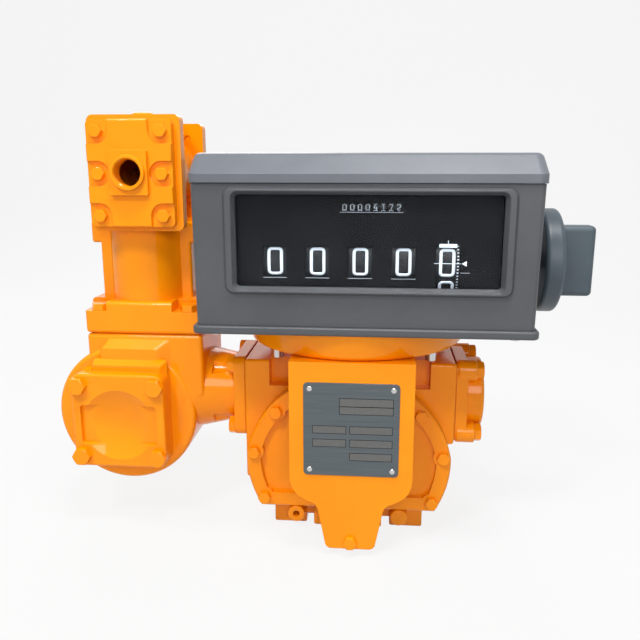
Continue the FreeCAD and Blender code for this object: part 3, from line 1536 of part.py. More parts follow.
def make_air_covers():
    back = air_plate_y
    front = back - air_cover_thickness
    plate = air_plate(front, back)
    plate = plate.makeFillet(air_cover_round, [edge for edge in plate.Edges
                                               if edge.BoundBox.YMax < front + 0.1])
    # each bolt stands on a lowered corner or side land
    lands = []
    for x, z in air_bolt_places():
        side = 1 if x > air_cover_x else -1
        low, high = sorted((x, x + side * 2 * land_reach))
        lands.append(cylinder(land_reach, (x, front - 1, z), (0, 1, 0), land_depth + 1))
        lands.append(box(low, high, front - 1, front + land_depth, z - land_reach,
                         z + land_reach))
        if abs(z - air_cover_z) > 1:
            level = 1 if z > air_cover_z else -1
            bottom, top = sorted((z, z + level * 2 * land_reach))
            lands.append(box(x - land_reach, x + land_reach, front - 1, front + land_depth,
                             bottom, top))
            lands.append(box(low, high, front - 1, front + land_depth, bottom, top))
    plate = plate.cut(fuse(lands))
    pad = rounded_plate(air_cover_x, vent_z, 2 * vent_pad_half_x, 2 * vent_pad_half_z,
                        vent_pad_corner, front - vent_pad_rise, front + 1)
    lip = soft_cylinder(vent_lip_radius, (air_cover_x, front, vent_z), (0, -1, 0),
                        vent_pad_rise + vent_lip_rise, vent_lip_round)
    shape = fuse([plate, pad, lip])
    vent_depth = vent_pad_rise + vent_lip_rise + air_cover_thickness
    tools = [cylinder(vent_radius, (air_cover_x, back - vent_depth - 1, vent_z), (0, 1, 0),
                      vent_depth + 2)]
    for x, z in air_bolt_places():
        tools.append(cylinder(small_bolt_radius + bolt_clearance, (x, front - 1, z), (0, 1, 0),
                              air_cover_thickness + 2))
    export(cut(shape, tools), "air_cover_front")

    rear = -air_plate_y
    face = rear + air_cover_thickness
    plate = air_plate(rear, face, rear_cover_height)
    pad = rounded_plate(air_cover_x, air_cover_z, air_cover_width / 2, rear_cover_height / 2,
                        air_cover_corner, rear + 1, face + rear_pad_rise)
    # a small hole near the upper corner takes a sealing wire
    tools = [cylinder(seal_hole_radius, (air_cover_right_x - seal_hole_inset_x, rear - 1,
                                         air_cover_z + rear_cover_height / 2 - seal_hole_inset_z),
                      (0, 1, 0), air_cover_thickness + 2)]
    for x, z in air_bolt_places(rear_cover_height):
        tools.append(cylinder(small_bolt_radius + bolt_clearance, (x, rear - 1, z), (0, 1, 0),
                              air_cover_thickness + 2))
    export(cut(fuse([plate, pad]), tools), "air_cover_rear")

    fasteners = []
    for x, z in air_bolt_places():
        fasteners.append(small_bolt((x, front + land_depth, z), (0, -1, 0),
                                    air_cover_thickness - land_depth + gasket_thickness
                                    + small_bolt_grip - 1))
    for x, z in air_bolt_places(rear_cover_height):
        fasteners.append(small_bolt((x, face, z), (0, 1, 0), air_cover_thickness
                                    + gasket_thickness + small_bolt_grip - 1))
    group(fasteners, "air_cover_bolts")
    fasteners = []
    seat = saddle_top_z + gasket_thickness + base_flange_height - ear_depth
    for x, y in column_bolts:
        fasteners.append(large_bolt((x, y, seat), (0, 0, 1),
                                    seat - saddle_top_z + large_bolt_grip - 1))
    group(fasteners, "air_base_bolts")


def make_float():
    guide_top = head_top_z - head_wall - 2
    guide_floor = float_floor_z - seat_gap
    spider_reach = column_bore - spider_gap
    spider = box(air_x - spider_reach, air_x + spider_reach, -spider_half_width,
                 spider_half_width, guide_floor - spider_thickness, guide_floor)
    guide = cylinder(guide_radius, (air_x, 0, guide_floor - 1), (0, 0, 1),
                     guide_top - guide_floor + 1)
    disc = cylinder(spider_reach, (air_x, 0, guide_floor - spider_thickness), (0, 0, 1),
                    spider_thickness)
    export(fuse([spider.common(disc), guide]), "float_guide")

    can = soft_cylinder(float_radius, (air_x, 0, float_floor_z), (0, 0, 1), float_height,
                        float_round)
    stem = cylinder(float_stem_radius, (air_x, 0, float_floor_z + float_height - 1), (0, 0, 1),
                    float_stem + 1)
    bore = cylinder(guide_radius + running_clearance, (air_x, 0, float_floor_z - 1), (0, 0, 1),
                    float_height + float_stem + 2)
    export(fuse([can, stem]).cut(bore), "float_can")


def make_gaskets():
    rings = []
    for y0 in (cover_back_y, -housing_front):
        ring = meter_outline(gasket_inset, y0, y0 + gasket_thickness)
        hole = meter_outline(recess_inset - 1, y0 - 1, y0 + gasket_thickness + 1)
        rings.append(ring.cut([hole] + bolt_holes(y0 - 1, y0 + 2)))
    for x0 in (-face_half - gasket_thickness, face_half):
        ring = outlet_side_plate(x0, x0 + gasket_thickness)
        tools = [cylinder(duct_radius, (x0 - 1, 0, flange_centre_z), (1, 0, 0), 4)]
        for y, z in flange_bolts:
            tools.append(cylinder(large_bolt_radius + bolt_clearance,
                                  (x0 - 1, y, flange_centre_z + z), (1, 0, 0), 4))
        rings.append(ring.cut(tools))
    for y0, bore in ((port_cover_y, basket_radius + 1), (-port_front_y, duct_radius)):
        ring = rounded_plate(drum_x, drum_z, port_width, port_height, port_corner, y0,
                             y0 + gasket_thickness)
        tools = [cylinder(bore, (drum_x, y0 - 1, drum_z), (0, 1, 0), 4)]
        for x, z in port_places():
            tools.append(cylinder(large_bolt_radius + bolt_clearance, (x, y0 - 1, z), (0, 1, 0), 4))
        rings.append(ring.cut(tools))
    for y0, height in ((air_plate_y, air_cover_height), (-air_front_y, rear_cover_height)):
        ring = air_plate(y0, y0 + gasket_thickness, height)
        tools = [cylinder(column_bore, (air_cover_x, y0 - 1, air_cover_z), (0, 1, 0), 4)]
        tools += bolt_holes(y0 - 1, y0 + 2, air_bolt_places(height))
        rings.append(ring.cut(tools))
    ring = flat_plate(column_bolt_centre, 0,
                      saddle_right_x - saddle_left_x - 2 * gasket_edge,
                      2 * (saddle_half_depth - gasket_edge), saddle_round,
                      saddle_top_z, saddle_top_z + gasket_thickness)
    tools = [cylinder(column_bore, (air_x, 0, saddle_top_z - 1), (0, 0, 1), 4)]
    for x, y in column_bolts:
        tools.append(cylinder(large_bolt_radius + bolt_clearance, (x, y, saddle_top_z - 1),
                              (0, 0, 1), 4))
    rings.append(ring.cut(tools))
    group(rings, "gaskets")


make_housing()
make_covers()
make_bearing_plates()
make_rotors()
make_drive()
make_outlet_flange()
make_flange_bolts()
make_adaptor()
make_apron()
make_adaptor_screws()
make_register_case()
make_register_lid()
make_window_and_dial()
make_register_frame()
make_wheels()
make_knob()
make_strainer()
make_inlet_cover()
make_air_body()
make_air_covers()
make_float()
make_gaskets()
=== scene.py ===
import json
import math

import bmesh
import bpy
from mathutils import Matrix, Vector


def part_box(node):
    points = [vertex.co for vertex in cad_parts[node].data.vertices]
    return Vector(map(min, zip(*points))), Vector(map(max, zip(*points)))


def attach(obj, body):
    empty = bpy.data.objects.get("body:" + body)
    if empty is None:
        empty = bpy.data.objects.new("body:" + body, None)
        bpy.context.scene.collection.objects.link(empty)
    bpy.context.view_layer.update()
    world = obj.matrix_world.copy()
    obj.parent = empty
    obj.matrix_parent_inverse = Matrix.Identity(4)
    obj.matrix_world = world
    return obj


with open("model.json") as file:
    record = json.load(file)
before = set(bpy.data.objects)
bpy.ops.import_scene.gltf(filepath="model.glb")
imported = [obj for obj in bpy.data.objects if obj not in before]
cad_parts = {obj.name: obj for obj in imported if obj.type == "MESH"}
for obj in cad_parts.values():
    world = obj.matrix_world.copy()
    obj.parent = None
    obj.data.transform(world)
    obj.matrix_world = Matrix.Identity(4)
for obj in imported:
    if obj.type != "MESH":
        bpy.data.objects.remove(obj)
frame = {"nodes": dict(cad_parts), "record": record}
nodes = frame["nodes"]
nodeBody = {}
for bodyName, members in frame["record"]["behaviour"]["bodies"].items():
    for member in members:
        nodeBody[member] = bodyName
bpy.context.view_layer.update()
mm = 0.001
print("frame loaded:", len(nodes), "nodes")


def addNode(tree, kind, **settings):
    node = tree.nodes.new(kind)
    for key, value in settings.items():
        setattr(node, key, value)
    return node


def joinSockets(tree, source, target):
    tree.links.new(source, target)


def newGroup(name, inputs, outputs):
    tree = bpy.data.node_groups.new(name, "ShaderNodeTree")
    for label, kind, default in inputs:
        socket = tree.interface.new_socket(name=label, in_out="INPUT", socket_type=kind)
        socket.default_value = default
    for label, kind in outputs:
        tree.interface.new_socket(name=label, in_out="OUTPUT", socket_type=kind)
    start = addNode(tree, "NodeGroupInput")
    end = addNode(tree, "NodeGroupOutput")
    return tree, start, end


texture = {"edgeSamples": 4, "grainDetail": 3.0, "waveDetail": 1.0, "grainDistance": 0.0004,
           "waveDistance": 0.002, "patchDetail": 6.0, "patchRoughness": 0.6,
           "patchLow": 0.3, "patchHigh": 0.7, "lineScale": 900.0, "lineDetail": 4.0,
           "lineDistance": 0.0002}


def makeSkinGroup():
    # rounded edges and fine paint or casting texture, as one normal
    tree, start, end = newGroup("paintSkin", [
        ("Grain Size", "NodeSocketFloat", 400.0),
        ("Grain Depth", "NodeSocketFloat", 0.1),
        ("Wave Size", "NodeSocketFloat", 40.0),
        ("Wave Depth", "NodeSocketFloat", 0.1),
        ("Edge Radius", "NodeSocketFloat", 0.001)],
        [("Normal", "NodeSocketVector")])
    place = addNode(tree, "ShaderNodeTexCoord")
    grain = addNode(tree, "ShaderNodeTexNoise")
    grain.inputs["Detail"].default_value = texture["grainDetail"]
    wave = addNode(tree, "ShaderNodeTexNoise")
    wave.inputs["Detail"].default_value = texture["waveDetail"]
    edge = addNode(tree, "ShaderNodeBevel", samples=texture["edgeSamples"])
    grainBump = addNode(tree, "ShaderNodeBump")
    grainBump.inputs["Distance"].default_value = texture["grainDistance"]
    waveBump = addNode(tree, "ShaderNodeBump")
    waveBump.inputs["Distance"].default_value = texture["waveDistance"]
    joinSockets(tree, place.outputs["Object"], grain.inputs["Vector"])
    joinSockets(tree, place.outputs["Object"], wave.inputs["Vector"])
    joinSockets(tree, start.outputs["Grain Size"], grain.inputs["Scale"])
    joinSockets(tree, start.outputs["Wave Size"], wave.inputs["Scale"])
    joinSockets(tree, start.outputs["Grain Depth"], grainBump.inputs["Strength"])
    joinSockets(tree, start.outputs["Wave Depth"], waveBump.inputs["Strength"])
    joinSockets(tree, start.outputs["Edge Radius"], edge.inputs["Radius"])
    joinSockets(tree, grain.outputs["Fac"], grainBump.inputs["Height"])
    joinSockets(tree, wave.outputs["Fac"], waveBump.inputs["Height"])
    joinSockets(tree, edge.outputs["Normal"], waveBump.inputs["Normal"])
    joinSockets(tree, waveBump.outputs["Normal"], grainBump.inputs["Normal"])
    joinSockets(tree, grainBump.outputs["Normal"], end.inputs["Normal"])
    return tree


def makeMottleGroup():
    # a slow change between two tones, with fine specks, and a mask for roughness
    tree, start, end = newGroup("mottle", [
        ("Tone A", "NodeSocketColor", (1, 1, 1, 1)),
        ("Tone B", "NodeSocketColor", (0, 0, 0, 1)),
        ("Patch Size", "NodeSocketFloat", 12.0),
        ("Rough Low", "NodeSocketFloat", 0.2),
        ("Rough High", "NodeSocketFloat", 0.4)],
        [("Color", "NodeSocketColor"), ("Roughness", "NodeSocketFloat")])
    place = addNode(tree, "ShaderNodeTexCoord")
    patch = addNode(tree, "ShaderNodeTexNoise")
    patch.inputs["Detail"].default_value = texture["patchDetail"]
    patch.inputs["Roughness"].default_value = texture["patchRoughness"]
    blend = addNode(tree, "ShaderNodeMix", data_type="RGBA")
    spread = addNode(tree, "ShaderNodeMapRange")
    spread.inputs["From Min"].default_value = texture["patchLow"]
    spread.inputs["From Max"].default_value = texture["patchHigh"]
    rough = addNode(tree, "ShaderNodeMapRange")
    joinSockets(tree, place.outputs["Object"], patch.inputs["Vector"])
    joinSockets(tree, start.outputs["Patch Size"], patch.inputs["Scale"])
    joinSockets(tree, patch.outputs["Fac"], spread.inputs["Value"])
    joinSockets(tree, spread.outputs["Result"], blend.inputs["Factor"])
    joinSockets(tree, start.outputs["Tone A"], blend.inputs["A"])
    joinSockets(tree, start.outputs["Tone B"], blend.inputs["B"])
    joinSockets(tree, patch.outputs["Fac"], rough.inputs["Value"])
    joinSockets(tree, start.outputs["Rough Low"], rough.inputs["To Min"])
    joinSockets(tree, start.outputs["Rough High"], rough.inputs["To Max"])
    joinSockets(tree, blend.outputs["Result"], end.inputs["Color"])
    joinSockets(tree, rough.outputs["Result"], end.inputs["Roughness"])
    return tree


def makeBrushGroup():
    # straight brushing or turning lines, stretched along one axis
    tree, start, end = newGroup("brushLines", [
        ("Stretch", "NodeSocketVector", (1, 1, 1)),
        ("Depth", "NodeSocketFloat", 0.1),
        ("Edge Radius", "NodeSocketFloat", 0.0005)],
        [("Lines", "NodeSocketFloat"), ("Normal", "NodeSocketVector")])
    place = addNode(tree, "ShaderNodeTexCoord")
    stretch = addNode(tree, "ShaderNodeMapping")
    lines = addNode(tree, "ShaderNodeTexNoise")
    lines.inputs["Scale"].default_value = texture["lineScale"]
    lines.inputs["Detail"].default_value = texture["lineDetail"]
    edge = addNode(tree, "ShaderNodeBevel", samples=texture["edgeSamples"])
    bump = addNode(tree, "ShaderNodeBump")
    bump.inputs["Distance"].default_value = texture["lineDistance"]
    joinSockets(tree, place.outputs["Object"], stretch.inputs["Vector"])
    joinSockets(tree, start.outputs["Stretch"], stretch.inputs["Scale"])
    joinSockets(tree, stretch.outputs["Vector"], lines.inputs["Vector"])
    joinSockets(tree, start.outputs["Depth"], bump.inputs["Strength"])
    joinSockets(tree, start.outputs["Edge Radius"], edge.inputs["Radius"])
    joinSockets(tree, edge.outputs["Normal"], bump.inputs["Normal"])
    joinSockets(tree, lines.outputs["Fac"], bump.inputs["Height"])
    joinSockets(tree, lines.outputs["Fac"], end.inputs["Lines"])
    joinSockets(tree, bump.outputs["Normal"], end.inputs["Normal"])
    return tree


skinGroup = makeSkinGroup()
mottleGroup = makeMottleGroup()
brushGroup = makeBrushGroup()


def newMaterial(name, **sockets):
    material = bpy.data.materials.new(name)
    material.use_nodes = True
    tree = material.node_tree
    skinShader = tree.nodes["Principled BSDF"]
    for label, value in sockets.items():
        skinShader.inputs[label.replace("_", " ")].default_value = value
    return material, tree, skinShader


def placeGroup(tree, group, **values):
    node = addNode(tree, "ShaderNodeGroup", node_tree=group)
    for label, value in values.items():
        node.inputs[label.replace("_", " ")].default_value = value
    return node


def paintMaterial(name, paint):
    material, tree, shader = newMaterial(name, **paint["shader"])
    tone = placeGroup(tree, mottleGroup, **paint["tone"])
    skin = placeGroup(tree, skinGroup, **paint["skin"])
    joinSockets(tree, tone.outputs["Color"], shader.inputs["Base Color"])
    joinSockets(tree, tone.outputs["Roughness"], shader.inputs["Roughness"])
    joinSockets(tree, skin.outputs["Normal"], shader.inputs["Normal"])
    return material


def metalMaterial(name, metal):
    material, tree, shader = newMaterial(name, Metallic=1.0)
    brush = placeGroup(tree, brushGroup, **metal["brush"])
    tone = addNode(tree, "ShaderNodeMix", data_type="RGBA")
    tone.inputs["A"].default_value = metal["dark"]
    tone.inputs["B"].default_value = metal["light"]
    rough = addNode(tree, "ShaderNodeMapRange")
    rough.inputs["To Min"].default_value = metal["rough"][0]
    rough.inputs["To Max"].default_value = metal["rough"][1]
    joinSockets(tree, brush.outputs["Lines"], tone.inputs["Factor"])
    joinSockets(tree, brush.outputs["Lines"], rough.inputs["Value"])
    joinSockets(tree, tone.outputs["Result"], shader.inputs["Base Color"])
    joinSockets(tree, rough.outputs["Result"], shader.inputs["Roughness"])
    joinSockets(tree, brush.outputs["Normal"], shader.inputs["Normal"])
    return material


orangeEnamel = paintMaterial("orangeEnamel", {
    "shader": {"Specular_IOR_Level": 0.05, "Coat_Weight": 0.4, "Coat_Roughness": 0.03},
    "tone": {"Tone_A": (0.93, 0.27, 0.001, 1), "Tone_B": (1.0, 0.315, 0.0014, 1),
             "Patch_Size": 9.0, "Rough_Low": 0.18, "Rough_High": 0.28},
    "skin": {"Grain_Size": 900.0, "Grain_Depth": 0.05, "Wave_Size": 55.0, "Wave_Depth": 0.14,
             "Edge_Radius": 0.0012}})
registerEnamel = paintMaterial("registerEnamel", {
    "shader": {"Specular_IOR_Level": 0.4},
    "tone": {"Tone_A": (0.07, 0.075, 0.082, 1), "Tone_B": (0.086, 0.091, 0.098, 1),
             "Patch_Size": 14.0, "Rough_Low": 0.28, "Rough_High": 0.4},
    "skin": {"Grain_Size": 1300.0, "Grain_Depth": 0.35, "Wave_Size": 60.0, "Wave_Depth": 0.05,
             "Edge_Radius": 0.0012}})
# the register's grey paint, made lighter and bluer on the lid: a painted sheen for the light its
# top catches
lidPaintedSheenEnamel = paintMaterial("lidPaintedSheenEnamel", {
    "shader": {"Specular_IOR_Level": 0.45},
    "tone": {"Tone_A": (0.115, 0.125, 0.142, 1), "Tone_B": (0.14, 0.15, 0.17, 1),
             "Patch_Size": 14.0, "Rough_Low": 0.26, "Rough_High": 0.38},
    "skin": {"Grain_Size": 1300.0, "Grain_Depth": 0.35, "Wave_Size": 60.0, "Wave_Depth": 0.05,
             "Edge_Radius": 0.0012}})
knobPlastic = paintMaterial("knobPlastic", {
    "shader": {"Specular_IOR_Level": 0.45},
    "tone": {"Tone_A": (0.052, 0.072, 0.088, 1), "Tone_B": (0.066, 0.088, 0.104, 1),
             "Patch_Size": 20.0, "Rough_Low": 0.36, "Rough_High": 0.46},
    "skin": {"Grain_Size": 1500.0, "Grain_Depth": 0.10, "Wave_Size": 60.0, "Wave_Depth": 0.03,
             "Edge_Radius": 0.0012}})
dialBlack = paintMaterial("dialBlack", {
    "shader": {"Specular_IOR_Level": 0.04},
    "tone": {"Tone_A": (0.006, 0.0065, 0.008, 1), "Tone_B": (0.011, 0.0115, 0.013, 1),
             "Patch_Size": 20.0, "Rough_Low": 0.5, "Rough_High": 0.6},
    "skin": {"Grain_Size": 2000.0, "Grain_Depth": 0.05, "Wave_Size": 50.0, "Wave_Depth": 0.02,
             "Edge_Radius": 0.0003}})
wheelBlack = paintMaterial("wheelBlack", {
    "shader": {"Specular_IOR_Level": 0.25},
    "tone": {"Tone_A": (0.012, 0.013, 0.016, 1), "Tone_B": (0.02, 0.021, 0.024, 1),
             "Patch_Size": 60.0, "Rough_Low": 0.28, "Rough_High": 0.36},
    "skin": {"Grain_Size": 1800.0, "Grain_Depth": 0.05, "Wave_Size": 80.0, "Wave_Depth": 0.02,
             "Edge_Radius": 0.0004}})
figureWhite = paintMaterial("figureWhite", {
    "shader": {"Specular_IOR_Level": 0.4},
    "tone": {"Tone_A": (0.72, 0.79, 0.90, 1), "Tone_B": (0.80, 0.86, 0.95, 1),
             "Patch_Size": 150.0, "Rough_Low": 0.45, "Rough_High": 0.6},
    "skin": {"Grain_Size": 1800.0, "Grain_Depth": 0.05, "Wave_Size": 80.0, "Wave_Depth": 0.02,
             "Edge_Radius": 0.0002}})
gearPlastic = paintMaterial("gearPlastic", {
    "shader": {"Specular_IOR_Level": 0.4},
    "tone": {"Tone_A": (0.05, 0.05, 0.055, 1), "Tone_B": (0.07, 0.07, 0.075, 1),
             "Patch_Size": 25.0, "Rough_Low": 0.4, "Rough_High": 0.55},
    "skin": {"Grain_Size": 1200.0, "Grain_Depth": 0.1, "Wave_Size": 60.0, "Wave_Depth": 0.03,
             "Edge_Radius": 0.0008}})
gasketFibre = paintMaterial("gasketFibre", {  # painted over with the castings
    "shader": {"Specular_IOR_Level": 0.25},
    "tone": {"Tone_A": (0.62, 0.13, 0.002, 1), "Tone_B": (0.74, 0.17, 0.003, 1),
             "Patch_Size": 90.0, "Rough_Low": 0.4, "Rough_High": 0.6},
    "skin": {"Grain_Size": 1500.0, "Grain_Depth": 0.4, "Wave_Size": 90.0, "Wave_Depth": 0.1,
             "Edge_Radius": 0.0002}})
inkBlack = paintMaterial("inkBlack", {
    "shader": {"Specular_IOR_Level": 0.3},
    "tone": {"Tone_A": (0.012, 0.014, 0.016, 1), "Tone_B": (0.025, 0.028, 0.03, 1),
             "Patch_Size": 120.0, "Rough_Low": 0.4, "Rough_High": 0.55},
    "skin": {"Grain_Size": 2000.0, "Grain_Depth": 0.05, "Wave_Size": 80.0, "Wave_Depth": 0.02,
             "Edge_Radius": 0.0001}})
rotorIron = paintMaterial("rotorIron", {
    "shader": {"Metallic": 0.9},
    "tone": {"Tone_A": (0.22, 0.22, 0.225, 1), "Tone_B": (0.30, 0.295, 0.29, 1),
             "Patch_Size": 30.0, "Rough_Low": 0.35, "Rough_High": 0.5},
    "skin": {"Grain_Size": 900.0, "Grain_Depth": 0.2, "Wave_Size": 60.0, "Wave_Depth": 0.05,
             "Edge_Radius": 0.0006}})
plateAluminium = metalMaterial("plateAluminium", {
    "dark": (0.10, 0.12, 0.13, 1), "light": (0.17, 0.19, 0.2, 1), "rough": (0.3, 0.44),
    "brush": {"Stretch": (0.03, 1.0, 1.0), "Depth": 0.12, "Edge_Radius": 0.0004}})
fieldAluminium = metalMaterial("fieldAluminium", {
    "dark": (0.13, 0.135, 0.135, 1), "light": (0.21, 0.21, 0.2, 1), "rough": (0.4, 0.6),
    "brush": {"Stretch": (0.6, 1.0, 1.0), "Depth": 0.3, "Edge_Radius": 0.0001}})
platedSteel = metalMaterial("platedSteel", {
    "dark": (0.52, 0.52, 0.52, 1), "light": (0.68, 0.68, 0.67, 1), "rough": (0.16, 0.3),
    "brush": {"Stretch": (0.5, 0.5, 0.5), "Depth": 0.1, "Edge_Radius": 0.0005}})
groundSteel = metalMaterial("groundSteel", {
    "dark": (0.45, 0.46, 0.48, 1), "light": (0.60, 0.61, 0.63, 1), "rough": (0.2, 0.34),
    "brush": {"Stretch": (1.0, 0.1, 1.0), "Depth": 0.15, "Edge_Radius": 0.0004}})
basketSteel = metalMaterial("basketSteel", {
    "dark": (0.50, 0.51, 0.52, 1), "light": (0.66, 0.67, 0.68, 1), "rough": (0.25, 0.4),
    "brush": {"Stretch": (0.3, 1.0, 0.3), "Depth": 0.12, "Edge_Radius": 0.0003}})
glandBrass = metalMaterial("glandBrass", {
    "dark": (0.62, 0.42, 0.15, 1), "light": (0.78, 0.57, 0.25, 1), "rough": (0.2, 0.35),
    "brush": {"Stretch": (0.4, 1.0, 0.4), "Depth": 0.12, "Edge_Radius": 0.0005}})


def makeWindowGlass():
    material, tree, shader = newMaterial("windowGlass", Roughness=0.02, IOR=1.1,
                                         Transmission_Weight=1.0,
                                         Base_Color=(0.93, 0.96, 0.97, 1))
    # lamps reach the dial through the pane
    path = addNode(tree, "ShaderNodeLightPath")
    clear = addNode(tree, "ShaderNodeBsdfTransparent")
    choose = addNode(tree, "ShaderNodeMixShader")
    output = tree.nodes["Material Output"]
    joinSockets(tree, path.outputs["Is Shadow Ray"], choose.inputs["Fac"])
    joinSockets(tree, shader.outputs["BSDF"], choose.inputs[1])
    joinSockets(tree, clear.outputs["BSDF"], choose.inputs[2])
    joinSockets(tree, choose.outputs["Shader"], output.inputs["Surface"])
    return material


windowGlass = makeWindowGlass()

slotMaterial = {
    "orange_enamel": orangeEnamel, "register_enamel": registerEnamel, "lid_enamel": lidPaintedSheenEnamel,
    "dial_black": dialBlack, "figure_black": wheelBlack, "window_glass": windowGlass,
    "plate_aluminium": plateAluminium, "plated_steel": platedSteel, "ground_steel": groundSteel,
    "basket_steel": basketSteel, "rotor_iron": rotorIron, "frame_steel": groundSteel,
    "gear_case_plastic": gearPlastic, "gland_brass": glandBrass, "gasket_fibre": gasketFibre,
    "knob_plastic": knobPlastic}
for part in frame["record"]["subparts"]:
    node = nodes[part["node"]]
    for place in node.material_slots:
        place.material = slotMaterial[part["material_slot"]]
for place in nodes["total_shaft"].material_slots:
    place.material = wheelBlack  # it shows between the small wheels
print("materials placed")


def finishPiece(name, bm, material, body, smooth=False):
    mesh = bpy.data.meshes.new(name)
    bm.to_mesh(mesh)
    bm.free()
    for face in mesh.polygons:
        face.use_smooth = smooth
    mesh.materials.append(material)
    piece = bpy.data.objects.new(name, mesh)
    bpy.context.scene.collection.objects.link(piece)
    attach(piece, body)
    return piece


def addSlab(bm, centre, size, bevel=0.0):
    made = bmesh.ops.create_cube(bm, size=1.0)
    bmesh.ops.scale(bm, vec=size, verts=made["verts"])
    bmesh.ops.translate(bm, vec=centre, verts=made["verts"])
    if bevel > 0:
        edges = {edge for vert in made["verts"] for edge in vert.link_edges}
        bmesh.ops.bevel(bm, geom=list(edges), offset=bevel, segments=2, profile=0.5,
                        affect="EDGES", material=-1)
    return made["verts"]


figure = {"halfWidth": 5.5, "halfHeight": 11.1, "pen": 1.55, "corner": 2.7, "rise": 0.12,
          "step": 1.5, "cuts": 9}


def figureStrokes():
    # each figure as pen strokes, (points, closed); right and top are positive
    w = figure["halfWidth"]
    h = figure["halfHeight"]
    hook = h * 0.62
    return [
        [([(-w, -h), (w, -h), (w, h), (-w, h)], True)],
        [([(-w * 0.45, hook), (w * 0.2, h), (w * 0.2, -h)], False)],
        [([(-w, hook), (-w, h), (w, h), (w, h * 0.1), (-w, -h * 0.6), (-w, -h), (w, -h)], False)],
        [([(-w, hook), (-w, h), (w, h), (w, 0), (-w * 0.2, 0)], False),
         ([(-w * 0.2, 0), (w, 0), (w, -h), (-w, -h), (-w, -hook)], False)],
        [([(w * 0.1, h), (-w, -h * 0.35), (w * 1.15, -h * 0.35)], False),
         ([(w * 0.5, h * 0.2), (w * 0.5, -h)], False)],
        [([(w, h), (-w, h), (-w, h * 0.12), (w, h * 0.12), (w, -h), (-w, -h), (-w, -hook)],
          False)],
        [([(w, hook), (w, h), (-w, h), (-w, -h), (w, -h), (w, h * 0.05), (-w, h * 0.05)], False)],
        [([(-w, h), (w, h), (-w * 0.2, -h)], False)],
        [([(-w, 0), (w, 0), (w, h), (-w, h)], True), ([(-w, -h), (w, -h), (w, 0), (-w, 0)], True)],
        [([(w, -h * 0.05), (-w, -h * 0.05), (-w, h), (w, h), (w, -h), (-w, -h), (-w, -hook)],
          False)]]


def strokeMesh(strokes):
    # the strokes become round cords with soft corners, then are flattened to paint
    bm = bmesh.new()
    for points, closed in strokes:
        verts = [bm.verts.new((x, 0, z)) for x, z in points]
        for start, end in zip(verts, verts[1:]):
            bm.edges.new((start, end))
        if closed:
            bm.edges.new((verts[-1], verts[0]))
        corners = verts if closed else verts[1:-1]
        bmesh.ops.bevel(bm, geom=corners, offset=figure["corner"], segments=4, profile=0.5,
                        affect="VERTICES", material=-1)
    straight = [edge for edge in bm.edges if edge.calc_length() > 2 * figure["step"]]
    bmesh.ops.subdivide_edges(bm, edges=straight, cuts=figure["cuts"])
    mesh = bpy.data.meshes.new("stroke")
    bm.to_mesh(mesh)
    bm.free()
    cord = bpy.data.objects.new("stroke", mesh)
    bpy.context.scene.collection.objects.link(cord)
    bpy.ops.object.select_all(action="DESELECT")
    cord.select_set(True)
    bpy.context.view_layer.objects.active = cord
    bpy.ops.object.convert(target="CURVE")
    cord.data.bevel_depth = figure["pen"]
    cord.data.bevel_resolution = 1
    cord.data.use_fill_caps = True
    bpy.ops.object.convert(target="MESH")
    flat = bmesh.new()
    flat.from_mesh(cord.data)
    bmesh.ops.remove_doubles(flat, verts=flat.verts, dist=0.01)
    bmesh.ops.scale(flat, vec=(1, figure["rise"] / figure["pen"], 1), verts=flat.verts)
    bmesh.ops.recalc_face_normals(flat, faces=flat.faces)
    shape = bpy.data.meshes.new("figureShape")
    flat.to_mesh(shape)
    flat.free()
    bpy.data.objects.remove(cord)
    return shape


figureShapes = [strokeMesh(strokes) for strokes in figureStrokes()]
print("ten figures drawn")


def wrapOnWheel(bm, verts, wheel, turn):
    # bends flat work, drawn on XZ with its face to -Y, round a wheel whose axis is X
    for vert in verts:
        angle = vert.co.z / wheel["radius"] + turn
        reach = wheel["radius"] - vert.co.y
        vert.co = Vector((wheel["x"] + vert.co.x, wheel["y"] - reach * math.cos(angle),
                          wheel["z"] + reach * math.sin(angle)))


def wheelPlace(node):
    low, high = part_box(node)
    middle = (low + high) / 2
    return {"x": middle.x, "y": middle.y, "z": middle.z, "radius": (high.z - low.z) / 2,
            "right": high.x}


def figureBand(name, node, size, shown):
    # ten figures round a wheel; the next one up comes down into the window
    wheel = wheelPlace(node)
    bm = bmesh.new()
    for number, shape in enumerate(figureShapes):
        before = len(bm.verts)
        bm.from_mesh(shape)
        bm.verts.ensure_lookup_table()
        fresh = bm.verts[before:]
        bmesh.ops.scale(bm, vec=(size["wide"] * mm, size["tall"] * mm, size["tall"] * mm),
                        verts=fresh)
        wrapOnWheel(bm, fresh, wheel, math.radians(36 * (number - shown)))
    return finishPiece(name, bm, figureWhite, nodeBody[node], smooth=True)


totalReading = (0, 0, 0, 0, 4, 1, 7, 2)
totalSize = {"wide": 0.27, "tall": 0.21}
figureSize = {"wide": 1.0, "tall": 1.0}
for index in range(1, 6):
    figureBand("figures%d" % index, "figure_wheel_%d" % index, figureSize, 0)
for index in range(1, 9):
    figureBand("totalFigures%d" % index, "total_wheel_%d" % index, totalSize,
               totalReading[8 - index])


unitScale = {"marks": 100, "width": 1.5, "height": 1.1, "thick": 0.1, "inset": 0.6}


def makeUnitScale():
    # the ring of fine marks at the right edge of the units wheel
    wheel = wheelPlace("figure_wheel_1")
    bm = bmesh.new()
    for mark in range(unitScale["marks"]):
        verts = addSlab(bm, (0, -unitScale["thick"] * mm / 2, 0),
                        (unitScale["width"] * mm, unitScale["thick"] * mm,
                         unitScale["height"] * mm))
        inset = (unitScale["inset"] + unitScale["width"] / 2) * mm
        bmesh.ops.translate(bm, vec=(wheel["right"] - wheel["x"] - inset, 0, 0), verts=verts)
        wrapOnWheel(bm, verts, wheel, 2 * math.pi * mark / unitScale["marks"])
    return finishPiece("unitMarks", bm, figureWhite, nodeBody["figure_wheel_1"])


